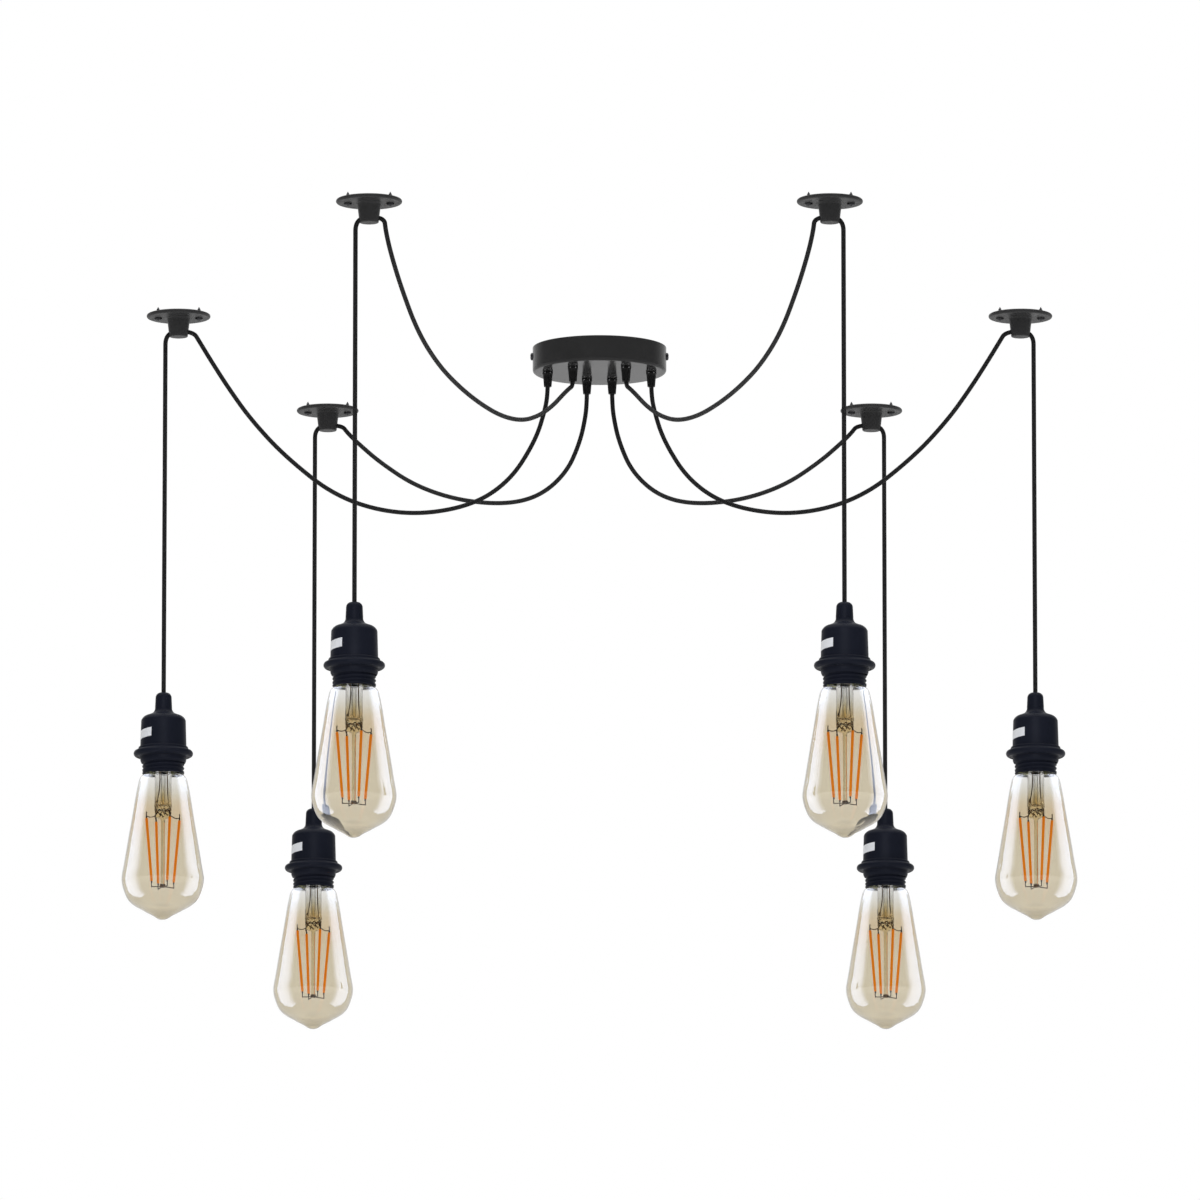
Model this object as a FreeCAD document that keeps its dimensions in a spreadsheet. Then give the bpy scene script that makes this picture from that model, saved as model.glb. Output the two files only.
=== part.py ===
import FreeCAD, Part
import math
import os
import re
import Sketcher
from FreeCAD import Placement, Rotation, Vector

# Spider pendant light: one ceiling rose feeds six cords. Each cord swags to its own
# ceiling hook, turns down through it and carries a lamp holder with a screw-in bulb.
# Millimetres. The origin is the middle of the rose's ceiling face, the ceiling is z = 0,
# +Z is up, +X is to the right and -Y is towards the front.

# Driving sizes, one row each: name, millimetres (or a plain count or angle), meaning.
SIZES = [
    # Ceiling rose
    ("rose_diameter", 106, "rose across its side wall"),
    ("rose_height", 20, "ceiling to the rose's underside"),
    ("rose_wall", 1.2, "sheet the rose is pressed from"),
    ("rose_edge_radius", 2.2, "rounding between side wall and underside"),
    # Mounting bracket inside the rose
    ("bracket_width", 18, "strap across"),
    ("bracket_sheet", 1.5, "strap thickness"),
    ("bracket_tab_margin", 5, "side screws to the tips of the bent tabs"),
    ("bracket_fold_radius", 1.5, "inside of the folds"),
    ("bracket_slot_start", 23.7, "middle of the strap to the near end of a ceiling slot"),
    ("bracket_slot_margin", 8.7, "far end of a ceiling slot to the rose's side wall"),
    ("bracket_slot_width", 4.6, "slot across"),
    ("supply_hole", 10, "hole for the supply cable"),
    ("supply_hole_offset", 14, "middle of the strap to the supply hole, to the left"),
    ("seat_clearance", 0.3, "air between pieces that fit into each other"),
    # Terminal block under the bracket
    ("block_offset", 8, "middle of the strap to the terminal block's middle, to the right"),
    ("block_pole_count", 3, "poles of the terminal block"),
    ("block_pole_pitch", 10, "one pole of the terminal block to the next"),
    ("block_depth", 17, "terminal block along the wires"),
    ("block_base_height", 3, "flange that lies on the bracket"),
    ("block_height", 12, "terminal block from the bracket down"),
    ("block_barrel_width", 7.5, "raised housing round one pole"),
    ("block_wire_hole", 3.2, "wire entry"),
    ("block_screw_hole", 3.6, "screw well"),
    # Screws that hold the rose on the bracket
    ("side_screw_drop", 7, "ceiling to the side screws"),
    ("side_screw_diameter", 3, "thread of the side screws"),
    ("side_screw_length", 8, "side screws under the head"),
    ("side_screw_head", 6, "side screw head across"),
    ("side_screw_head_height", 1.9, "side screw head height"),
    ("screw_clearance", 0.4, "extra width of a hole round its screw"),
    # Pan head of any screw, as shares of its own radius and height
    ("head_crown_share", 0.3, "flat middle, of the radius"),
    ("head_curve_share", 0.75, "middle of the curve, of the radius"),
    ("head_curve_fall_share", 0.76, "middle of the curve, of the height"),
    ("head_rim_share", 0.25, "straight edge, of the height"),
    # Cord grips in the rose's underside
    ("grip_collar_height", 2.6, "collar against the rose"),
    ("grip_collar_step", 0.3, "collar beyond the cone's upper end"),
    ("grip_collar_edge_share", 0.25, "slant of the collar's lower edge, of its height"),
    ("grip_taper", 0.8, "cone's upper end beyond its lower end"),
    ("grip_end_wall", 1.05, "wall where the cord leaves"),
    ("grip_stem_wall", 1.25, "wall of the threaded stem through the rose"),
    ("grip_length", 12.2, "underside of the rose to the grip's end"),
    ("grip_flute_width", 0.9, "grooves down the cone"),
    ("grip_flute_count", 8, "grooves round the cone"),
    ("grip_nut_flats", 9.5, "lock nut across its flats"),
    ("grip_nut_height", 3, "lock nut height"),
    ("grip_stem_proud", 1, "stem standing over the nut"),
    # Where the grips sit on the rose
    ("side_grip_margin", 12, "side cords' grips from the rose's side wall, sideways"),
    ("side_grip_ahead", 4, "side cords' grips from the middle, to the front"),
    ("front_grip_across", 21, "front cords' grips from the middle, sideways"),
    ("front_grip_margin", 27, "front cords' grips from the rose's side wall, at its front"),
    ("back_grip_across", 10, "back cords' grips from the middle, sideways"),
    ("back_grip_margin", 27, "back cords' grips from the rose's side wall, at its back"),
    # Cord
    ("cord_diameter", 3.5, "braided cord"),
    ("cord_clearance", 0.2, "air round the cord in a bore"),
    # Ceiling hooks
    ("hook_plate_diameter", 50, "hook plate across"),
    ("hook_plate_thickness", 3, "hook plate"),
    ("hook_boss_root_diameter", 17.9, "boss where it meets the plate"),
    ("hook_boss_end_diameter", 14.6, "boss at its lower end"),
    ("hook_floor", 2, "boss under its cord tunnel"),
    ("hook_root_fillet", 1.4, "rounding between plate and boss"),
    ("hook_end_fillet", 0.8, "rounding of the boss's lower end"),
    ("hook_tunnel_drop", 13.5, "ceiling to the tunnel's middle"),
    ("tunnel_clearance", 0.75, "air round the cord in the tunnel"),
    ("hook_screw_pitch", 32, "one ceiling screw to the other"),
    ("hook_screw_diameter", 3, "ceiling screw thread"),
    ("hook_screw_shank", 2.5, "ceiling screw's plain shank through the plate"),
    ("hook_screw_proud", 6, "screw tip over the plate"),
    ("hook_screw_head", 6, "ceiling screw head across"),
    ("hook_screw_head_height", 1.8, "ceiling screw head height"),
    # Where the hooks sit on the ceiling
    ("front_hook_across", 174, "front hooks from the middle, sideways"),
    ("front_hook_ahead", 580, "front hooks from the middle, to the front"),
    ("side_hook_across", 330, "side hooks from the middle, sideways"),
    ("side_hook_ahead", 136, "side hooks from the middle, to the front"),
    ("back_hook_across", 220, "back hooks from the middle, sideways"),
    ("back_hook_behind", 255, "back hooks from the middle, to the back"),
    # Cord runs
    ("bend_clearance", 1.15, "lower end of the boss to the hanging cord"),
    ("bend_fall", 9, "tunnel's middle to where the hanging cord starts to swing"),
    ("mouth_reach", 11.5, "hook middle to the corner where the swag begins"),
    ("swing_gap", 0.8, "slit at the swing point"),
    ("cord_in_grip", 6, "swag held inside its grip"),
    ("grip_lead", 4, "straight cord below a grip"),
    ("front_grip_lead", 3.3, "straight cord below a front grip, where it turns sharply"),
    ("front_cord_in_grip", 4.2, "front swag held inside its grip"),
    ("front_swag_depth", 90.3, "front swag below the hook tunnels"),
    ("side_swag_depth", 132.5, "side swag below the hook tunnels"),
    ("back_swag_depth", 94, "back swag below the hook tunnels"),
    ("front_drop", 309, "ceiling to the front lamp holders"),
    ("side_drop", 301, "ceiling to the side lamp holders"),
    ("back_drop", 328, "ceiling to the back lamp holders"),
    ("cord_in_holder", 10, "hanging cord inside the holder's neck"),
    # Lamp holder cap
    ("neck_dome_diameter", 11.8, "neck just under its domed top"),
    ("neck_dome_height", 4.2, "domed top of the neck"),
    ("dome_curve_share", 0.8, "middle of the dome's curve, of its radius"),
    ("dome_curve_fall_share", 0.38, "middle of the dome's curve, of its height"),
    ("neck_diameter", 12.8, "neck above its flare"),
    ("neck_length", 13.4, "top of the holder to the flare"),
    ("flare_diameter", 15.8, "flare where the shoulder begins"),
    ("flare_height", 3, "flare"),
    ("flare_curve_share", 0.96, "middle of the flare's curve, of the mean radius there"),
    ("flare_curve_fall_share", 0.64, "middle of the flare's curve, of its height"),
    ("shoulder_height", 5.1, "shoulder from the flare to the side wall"),
    ("shoulder_curve_share", 0.66, "middle of the shoulder's curve, of its way outwards"),
    ("shoulder_curve_fall_share", 0.38, "middle of the shoulder's curve, of its height"),
    ("cap_side_height", 22.2, "side wall of the cap"),
    ("cap_draft", 0.7, "how much the side wall widens downwards, on each side"),
    ("cap_wall", 2, "plastic of the side wall at its lower end"),
    ("cap_roof", 2, "plastic over the cap's hollow"),
    # Lamp holder barrel and its contacts
    ("barrel_wall", 2.05, "plastic of the barrel, over its thread crests"),
    ("barrel_neck_wall", 1.2, "plastic of the barrel inside the cap"),
    ("barrel_length", 20.8, "barrel below the cap"),
    ("barrel_closure", 3.5, "wall that closes the barrel"),
    ("barrel_rib_pitch", 3, "one thread crest to the next"),
    ("barrel_rib_depth", 0.6, "thread crest to root"),
    ("barrel_root_count", 3, "thread roots near the mouth"),
    ("shell_sheet", 0.4, "metal of the screw shell"),
    ("thread_clearance", 0.3, "air between the bulb's base and the screw shell"),
    ("shell_length", 21, "screw shell"),
    ("shell_lip_bore", 17, "hole in the shell's top"),
    ("tongue_diameter", 6, "centre contact where it is held"),
    ("tongue_end_share", 0.67, "free end of the centre contact, of its diameter"),
    ("tongue_length", 2.7, "centre contact below the closing wall"),
    ("contact_gap", 0.3, "centre contact to the bulb's tip"),
    # Shade ring
    ("ring_gap", 0.2, "cap to the shade ring"),
    ("ring_hub_height", 2, "hub over the flange"),
    ("ring_hub_wall", 1.4, "plastic of the hub"),
    ("ring_flange_reach", 5.1, "flange beyond the hub"),
    ("ring_collar_wall", 1.2, "plastic of the collar under the flange"),
    ("ring_foot_radius", 0.7, "rounding of the collar's lower edge"),
    ("ring_flange_height", 2.9, "flange thickness"),
    ("ring_height", 11.9, "shade ring in all"),
    ("ring_clearance", 0.35, "air between ring and barrel"),
    # Bulb
    ("bulb_diameter", 64, "envelope at its widest"),
    ("bulb_length", 114.9, "holder's mouth to the envelope's tip"),
    ("glass_wall", 1, "envelope glass"),
    ("bulb_neck_rise", 9.5, "holder's mouth to the neck's upper end"),
    ("neck_clearance", 0.9, "air between the glass neck and the metal base"),
    ("base_diameter", 26.4, "screw base over its crests"),
    ("base_sheet", 0.4, "metal of the screw base"),
    ("base_rise", 26.5, "holder's mouth to the base's tip"),
    ("base_rim_rise", 0.8, "holder's mouth to the base's rim"),
    ("base_insulator_diameter", 19, "black insulator under the tip"),
    ("base_insulator_height", 3.2, "insulator with its cone"),
    ("base_shoulder_height", 2.5, "sloping top of the screw base"),
    ("base_lip", 0.4, "how far the base grips over its insulator"),
    ("base_land", 0.3, "insulator round the tip contact"),
    ("base_tip_diameter", 9.6, "tip contact"),
    ("base_tip_height", 1.4, "tip contact height"),
    ("tip_curve_share", 0.72, "middle of the tip's curve, of its radius"),
    ("tip_curve_fall_share", 0.3, "middle of the tip's curve, of its height"),
    ("tip_crown_share", 0.3, "flat middle of the tip, of its radius"),
    # Glass stem inside the bulb
    ("stem_diameter", 13.2, "stem tube"),
    ("stem_wall", 0.8, "stem tube wall"),
    ("stem_flare_height", 2.4, "neck's upper end to the middle of the stem's flare"),
    ("stem_depth", 25.5, "holder's mouth to the end of the stem tube"),
    ("pinch_length", 9.2, "flattened pinch under the tube"),
    ("pinch_thickness", 3.6, "pinch the thin way"),
    ("pinch_flat_share", 0.4, "where the pinch is flat, of its length"),
    ("pinch_end_share", 0.92, "lower end of the pinch, of the tube's width"),
    ("lead_exit_share", 0.8, "where the leads leave the pinch, of its length"),
    ("rod_diameter", 3.2, "glass rod that carries the filaments"),
    ("rod_depth", 87, "holder's mouth to the rod's lower end"),
    # Filaments
    ("filament_count", 4, "light-emitting filaments in one bulb"),
    ("filament_diameter", 1.8, "filament"),
    ("filament_top_radius", 13.9, "upper ends from the bulb's axis"),
    ("filament_bottom_radius", 9.3, "lower ends from the bulb's axis"),
    ("filament_top_depth", 35.5, "holder's mouth to the upper ends"),
    ("filament_bottom_depth", 85, "holder's mouth to the lower ends"),
    ("filament_turn", 24, "degrees from straight sideways to the first filament"),
    ("wire_diameter", 0.7, "lead wires"),
    ("hub_diameter", 4.4, "metal collar on the glass rod"),
    ("hub_height", 2.4, "metal collar height"),
    # Cutting
    ("overrun", 2, "how far a cut runs past the surface"),
]
SIZE_NAMES = {name for name, number, meaning in SIZES}

# Sizes that follow from those above, so that pieces keep fitting one another.
FOLLOWING = {
    "bracket_tab_drop": "side_screw_drop + bracket_tab_margin",
    "bracket_slot_end": "rose_diameter / 2 - bracket_slot_margin",
    "bracket_slot_pitch": "bracket_slot_start + bracket_slot_end",
    "bracket_slot_length": "bracket_slot_end - bracket_slot_start - bracket_slot_width",
    "side_grip_across": "rose_diameter / 2 - side_grip_margin",
    "front_grip_ahead": "rose_diameter / 2 - front_grip_margin",
    "back_grip_behind": "rose_diameter / 2 - back_grip_margin",
    "cord_bore": "cord_diameter + 2 * cord_clearance",
    "grip_end_diameter": "cord_bore + 2 * grip_end_wall",
    "grip_stem_diameter": "cord_bore + 2 * grip_stem_wall",
    "grip_shoulder_diameter": "grip_end_diameter + 2 * grip_taper",
    "grip_collar_diameter": "grip_shoulder_diameter + 2 * grip_collar_step",
    "grip_hole": "grip_stem_diameter + 2 * cord_clearance",
    "hook_tunnel_diameter": "cord_diameter + 2 * tunnel_clearance",
    "hook_drop": "hook_tunnel_drop + hook_tunnel_diameter / 2 + hook_floor",
    "bend_reach": "hook_boss_end_diameter / 2 + cord_diameter / 2 + bend_clearance",
    "shell_bore": "base_diameter + 2 * thread_clearance",
    "barrel_bore": "shell_bore + 2 * shell_sheet + 2 * seat_clearance",
    "barrel_diameter": "barrel_bore + 2 * barrel_wall",
    "barrel_neck_diameter": "barrel_bore + 2 * barrel_neck_wall",
    "cap_bore": "barrel_neck_diameter + 2 * seat_clearance",
    "cap_end_diameter": "cap_bore + 2 * cap_wall",
    "shoulder_diameter": "cap_end_diameter - 2 * cap_draft",
    "flare_depth": "neck_length + flare_height",
    "shoulder_depth": "flare_depth + shoulder_height",
    "cap_depth": "shoulder_depth + cap_side_height",
    "holder_depth": "cap_depth + barrel_length",
    "contact_depth": "holder_depth - base_rise - contact_gap",
    "shell_depth": "contact_depth - tongue_length",
    "closure_depth": "shell_depth - barrel_closure",
    "ring_bore": "barrel_diameter + 2 * ring_clearance",
    "ring_hub_diameter": "ring_bore + 2 * ring_hub_wall",
    "ring_flange_diameter": "ring_hub_diameter + 2 * ring_flange_reach",
    "ring_collar_diameter": "ring_bore + 2 * ring_collar_wall",
    "bulb_neck_diameter": "base_diameter - 2 * base_sheet - 2 * neck_clearance",
}

# Envelope outline, from the neck down. Each row: kind of stretch that ends here, across,
# down as a share of the bulb's length, and the outward direction there. Across is a share
# of the way from the neck's radius to the bulb's radius.
SHOULDER_SHARES = [
    ("line", 0.0, -0.005, 1.0, 0.0),
    ("middle", 0.069, 0.0035, 0.55, -0.83),
    ("arc", 0.188, 0.006, 0.25, -0.97),
    ("middle", 0.307, 0.028, 0.85, -0.52),
    ("arc", 0.370, 0.063, 0.96, -0.28),
    ("middle", 0.397, 0.083, 0.975, -0.22),
    ("arc", 0.421, 0.105, 0.985, -0.17),
    ("line", 0.949, 0.653, 0.985, -0.17),
]
# From the belly to the tip, across is a share of the bulb's radius.
BELLY_SHARES = [
    ("middle", 1.0, 0.732, 1.0, 0.0),
    ("arc", 0.944, 0.801, 0.93, 0.37),
    ("middle", 0.838, 0.863, 0.78, 0.62),
    ("arc", 0.664, 0.9055, 0.50, 0.87),
    ("line", 0.290, 0.9603, 0.47, 0.88),
]
# Rounded hump at the envelope's tip, outside only; the glass is thicker there.
TIP_SHARES = [
    ("middle", 0.2475, 0.9678, 0.0, 0.0),
    ("arc", 0.205, 0.9775, 0.0, 0.0),
    ("middle", 0.110, 0.9942, 0.0, 0.0),
    ("arc", 0.020, 1.0, 0.0, 0.0),
    ("line", 0.0, 1.0, 0.0, 0.0),
]
# Lowest point of the envelope's inside, before its wall, as a share of the bulb's length
TIP_FLOOR_SHARE = 0.990

# Swags, from the hook to the rose. Each pair: share of the way from the tunnel's mouth
# to the grip, and share of the swag's depth.
FRONT_SWAG_SHARES = [
    (0.007, 0.105), (0.033, 0.266), (0.0875, 0.498), (0.1715, 0.770), (0.2765, 0.925),
    (0.388, 0.986), (0.500, 1.0), (0.612, 0.975), (0.721, 0.886), (0.812, 0.736),
    (0.889, 0.554), (0.945, 0.388), (0.980, 0.291),
]
SIDE_SWAG_SHARES = [
    (0.0185, 0.062), (0.050, 0.167), (0.098, 0.319), (0.162, 0.500), (0.2585, 0.706),
    (0.4085, 0.932), (0.5905, 1.0), (0.7725, 0.917), (0.8895, 0.743), (0.9645, 0.479),
    (0.9935, 0.275),
]
BACK_SWAG_SHARES = [
    (0.023, 0.0755), (0.067, 0.188), (0.159, 0.399), (0.304, 0.670), (0.483, 0.878),
    (0.675, 1.0), (0.8135, 0.989), (0.919, 0.835), (0.972, 0.601), (0.995, 0.388),
]
SWAG_SHARES = {"front": FRONT_SWAG_SHARES, "side": SIDE_SWAG_SHARES, "back": BACK_SWAG_SHARES}
# How much of the shorter run beside a corner the corner's arc takes.
ARC_RUN_SHARE = 0.45
# How far a tube's volume may be from its section times its length.
TUBE_VOLUME_SHARE = 0.01
# The least that a cut takes away, of what it cuts.
LEAST_CUT_SHARE = 1e-8

# The six lights: a row, and left or right with the sign of its direction.
SIDES = {"left": -1, "right": 1}
LIGHTS = [(row, side) for row in SWAG_SHARES for side in SIDES]

doc = FreeCAD.newDocument("SpiderPendant")
sheet = doc.addObject("Spreadsheet::Sheet", "Sizes")
for row_number, (name, number, meaning) in enumerate(SIZES, start=1):
    sheet.set("A%d" % row_number, name)
    sheet.set("B%d" % row_number, str(number))
    sheet.set("C%d" % row_number, meaning)
    sheet.setAlias("B%d" % row_number, name)
doc.recompute()


# Expressions and sketches

def bound(text):
    """Names the size sheet before every size, and writes out the sizes that follow from others."""
    def named(word):
        if word[0] in FOLLOWING:
            return "(%s)" % bound(FOLLOWING[word[0]])
        return "Sizes." + word[0] if word[0] in SIZE_NAMES else word[0]

    return re.sub(r"[a-z_]+", named, text)


def mm(text):
    """The number that an expression of sizes gives now."""
    return float(sheet.evalExpression(bound(text)))


def bind(thing, values):
    """Binds properties of an object to expressions of sizes."""
    for path, text in values.items():
        thing.setExpression(path, bound(text))


def new_body(name):
    """An empty body whose label is its name."""
    body = doc.addObject("PartDesign::Body", name)
    body.Label = name
    return body


def new_sketch(body, name, plane):
    """A sketch on one of the body's own origin planes."""
    sketch = body.newObject("Sketcher::SketchObject", name)
    support = next(flat for flat in body.Origin.OriginFeatures if flat.Role == plane)
    sketch.AttachmentSupport = [(support, "")]
    sketch.MapMode = "FlatFace"
    return sketch


def hold(sketch, kind, geometry, place, text):
    """Dimensions one coordinate of a sketch point from the origin."""
    number = sketch.addConstraint(Sketcher.Constraint(kind, -1, 1, geometry, place, mm(text)))
    if text != "0":
        sketch.setExpression("Constraints[%d]" % number, bound(text))


def end_at(sketch, geometry, point):
    """Which end of a sketch edge lies at a point: 1 its start, 2 its end."""
    edge = sketch.Geometry[geometry]
    return 1 if (edge.StartPoint - point).Length < (edge.EndPoint - point).Length else 2


def draw_outline(sketch, start, steps):
    """Draws a closed outline through steps: ("line", end) or ("arc", middle, end).

    A point is a pair of expressions, across and up. Each one is held by two
    dimensions, and an arc also passes through its held middle point. Arcs are
    drawn anticlockwise, as a sketch keeps them.
    """
    corners = [start] + [step[-1] for step in steps]
    points = [Vector(mm(across), mm(up), 0) for across, up in corners]
    points[-1] = points[0]
    edges = []
    for number, step in enumerate(steps):
        if step[0] == "line":
            edges.append(sketch.addGeometry(Part.LineSegment(points[number], points[number + 1])))
        else:
            middle = Vector(mm(step[1][0]), mm(step[1][1]), 0)
            ends = [points[number], points[number + 1]]
            if (middle - ends[0]).cross(ends[1] - ends[0]).z < 0:
                ends.reverse()
            edges.append(sketch.addGeometry(Part.Arc(ends[0], middle, ends[1])))
    for number, edge in enumerate(edges):
        after = edges[(number + 1) % len(edges)]
        joint = points[number + 1]
        sketch.addConstraint(Sketcher.Constraint(
            "Coincident", edge, end_at(sketch, edge, joint), after, end_at(sketch, after, joint)))
    for number, edge in enumerate(edges):
        place = end_at(sketch, edge, points[number])
        hold(sketch, "DistanceX", edge, place, corners[number][0])
        hold(sketch, "DistanceY", edge, place, corners[number][1])
    for edge, step in zip(edges, steps):
        if step[0] == "arc":
            middle = sketch.addGeometry(Part.Point(Vector(mm(step[1][0]), mm(step[1][1]), 0)), True)
            hold(sketch, "DistanceX", middle, 1, step[1][0])
            hold(sketch, "DistanceY", middle, 1, step[1][1])
            sketch.addConstraint(Sketcher.Constraint("PointOnObject", middle, 1, edge))


def draw_circle(sketch, across, up, diameter):
    """A circle whose middle and diameter are held by expressions."""
    middle = Vector(mm(across), mm(up), 0)
    circle = sketch.addGeometry(Part.Circle(middle, Vector(0, 0, 1), mm(diameter) / 2))
    hold(sketch, "DistanceX", circle, 3, across)
    hold(sketch, "DistanceY", circle, 3, up)
    number = sketch.addConstraint(Sketcher.Constraint("Diameter", circle, mm(diameter)))
    sketch.setExpression("Constraints[%d]" % number, bound(diameter))


def draw_slot(sketch, across, length, width):
    """A round-ended slot along the sketch's horizontal axis."""
    half = "(%s) / 2" % length
    edge = "(%s) / 2" % width
    left = "(%s) - %s" % (across, half)
    right = "(%s) + %s" % (across, half)
    draw_outline(sketch, (left, edge), [
        ("line", (right, edge)),
        ("arc", ("%s + %s" % (right, edge), "0"), (right, "-" + edge)),
        ("line", (left, "-" + edge)),
        ("arc", ("%s - %s" % (left, edge), "0"), (left, edge)),
    ])


def turned(body, name, start, steps):
    """Turns an outline once round the body's vertical axis."""
    sketch = new_sketch(body, name + "Outline", "XZ_Plane")
    draw_outline(sketch, start, steps)
    feature = body.newObject("PartDesign::Revolution", name)
    feature.Profile = sketch
    feature.ReferenceAxis = (sketch, ["V_Axis"])
    feature.Angle = 360
    sketch.Visibility = False
    return feature


def grooved(body, name, start, steps):
    """Cuts a turned hollow out of a body."""
    sketch = new_sketch(body, name + "Outline", "XZ_Plane")
    draw_outline(sketch, start, steps)
    feature = body.newObject("PartDesign::Groove", name)
    feature.Profile = sketch
    feature.ReferenceAxis = (sketch, ["V_Axis"])
    feature.Angle = 360
    return cut_checked(body, feature)


def padded(body, name, plane, length, draw):
    """Pads a sketch by half a length to each side of its plane."""
    sketch = new_sketch(body, name + "Outline", plane)
    draw(sketch)
    feature = body.newObject("PartDesign::Pad", name)
    feature.Profile = sketch
    feature.Midplane = True
    bind(feature, {"Length": length})
    return feature


def pocketed(body, name, plane, length, draw, lift="0"):
    """Cuts a sketch through a body by half a length to each side of its lifted plane."""
    sketch = new_sketch(body, name + "Outline", plane)
    draw(sketch)
    if lift != "0":
        sketch.setExpression("AttachmentOffset.Base.z", bound(lift))
    feature = body.newObject("PartDesign::Pocket", name)
    feature.Profile = sketch
    feature.Midplane = True
    bind(feature, {"Length": length})
    return cut_checked(body, feature)


def cut_checked(body, feature):
    """Recomputes a cut and makes sure that it took something away."""
    before = feature.BaseFeature.Shape.Volume
    doc.recompute()
    if feature.Shape.Volume > before * (1 - LEAST_CUT_SHARE):
        raise ValueError("%s of %s cuts nothing" % (feature.Name, body.Label))
    return feature


# Screws and nuts, each seated at z = 0

def pan_screw(name, head, head_height, thread, length, shank=None, shank_length=None):
    """A pan-head screw, head below z = 0 and thread above it, after a plain shank if it has one."""
    body = new_body(name)
    half = head + " / 2"
    shank_steps = [("line", (thread + " / 2", "0"))]
    if shank is not None:
        shank_steps = [
            ("line", (shank + " / 2", "0")),
            ("line", (shank + " / 2", shank_length)),
            ("line", (thread + " / 2", shank_length)),
        ]
    turned(body, name + "Turned", ("0", "-" + head_height), [
        ("line", (half + " * head_crown_share", "-" + head_height)),
        ("arc", (half + " * head_curve_share", "-%s * head_curve_fall_share" % head_height),
         (half, "-%s * head_rim_share" % head_height)),
        ("line", (half, "0")),
        *shank_steps,
        ("line", (thread + " / 2", length)),
        ("line", ("0", length)),
        ("line", ("0", "-" + head_height)),
    ])
    return body


def lock_nut():
    """The hexagon nut that holds a cord grip, resting on z = 0."""
    body = new_body("grip_nut")
    reach = "grip_nut_flats / sqrt(3)"
    corners = [("%s * cos(%d deg)" % (reach, turn), "%s * sin(%d deg)" % (reach, turn))
               for turn in range(0, 360, 60)]
    sketch = new_sketch(body, "NutOutline", "XY_Plane")
    draw_outline(sketch, corners[0], [("line", corner) for corner in corners[1:] + corners[:1]])
    pad = body.newObject("PartDesign::Pad", "NutPad")
    pad.Profile = sketch
    bind(pad, {"Length": "grip_nut_height"})
    doc.recompute()
    pocketed(body, "NutBore", "XY_Plane", "2 * grip_nut_height + 2 * overrun",
             lambda hole: draw_circle(hole, "0", "0", "grip_hole"))
    return body


# Ceiling rose, its bracket and the terminal block

def grip_places():
    """The six grips on the rose: name of the light, across and along, as expressions."""
    places = {}
    for row, side in LIGHTS:
        sign = "-" if SIDES[side] < 0 else ""
        along = "back_grip_behind" if row == "back" else "-%s_grip_ahead" % row
        places[row, side] = ("%s%s_grip_across" % (sign, row), along)
    return places


def rose():
    """The pressed steel cup against the ceiling, with its grip and side screw holes."""
    body = new_body("ceiling_rose")
    turned(body, "RoseCup", ("0", "-rose_height"), [
        ("line", ("rose_diameter / 2 - rose_edge_radius", "-rose_height")),
        ("arc", ("rose_diameter / 2 - rose_edge_radius * (1 - sin(45 deg))",
                 "-rose_height + rose_edge_radius * (1 - sin(45 deg))"),
         ("rose_diameter / 2", "-rose_height + rose_edge_radius")),
        ("line", ("rose_diameter / 2", "0")),
        ("line", ("rose_diameter / 2 - rose_wall", "0")),
        ("line", ("rose_diameter / 2 - rose_wall", "-rose_height + rose_edge_radius")),
        ("arc", ("rose_diameter / 2 - rose_edge_radius + (rose_edge_radius - rose_wall) * sin(45 deg)",
                 "-rose_height + rose_edge_radius - (rose_edge_radius - rose_wall) * sin(45 deg)"),
         ("rose_diameter / 2 - rose_edge_radius", "-rose_height + rose_wall")),
        ("line", ("0", "-rose_height + rose_wall")),
        ("line", ("0", "-rose_height")),
    ])
    doc.recompute()

    def grip_holes(sketch):
        for across, along in grip_places().values():
            draw_circle(sketch, across, along, "grip_hole")

    pocketed(body, "GripHoles", "XY_Plane", "2 * rose_height + 2 * overrun", grip_holes)
    screw_hole = "side_screw_diameter + screw_clearance"
    pocketed(body, "SideScrewHoles", "YZ_Plane", "rose_diameter + 2 * overrun",
             lambda sketch: draw_circle(sketch, "0", "-side_screw_drop", screw_hole))
    return body


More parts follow.
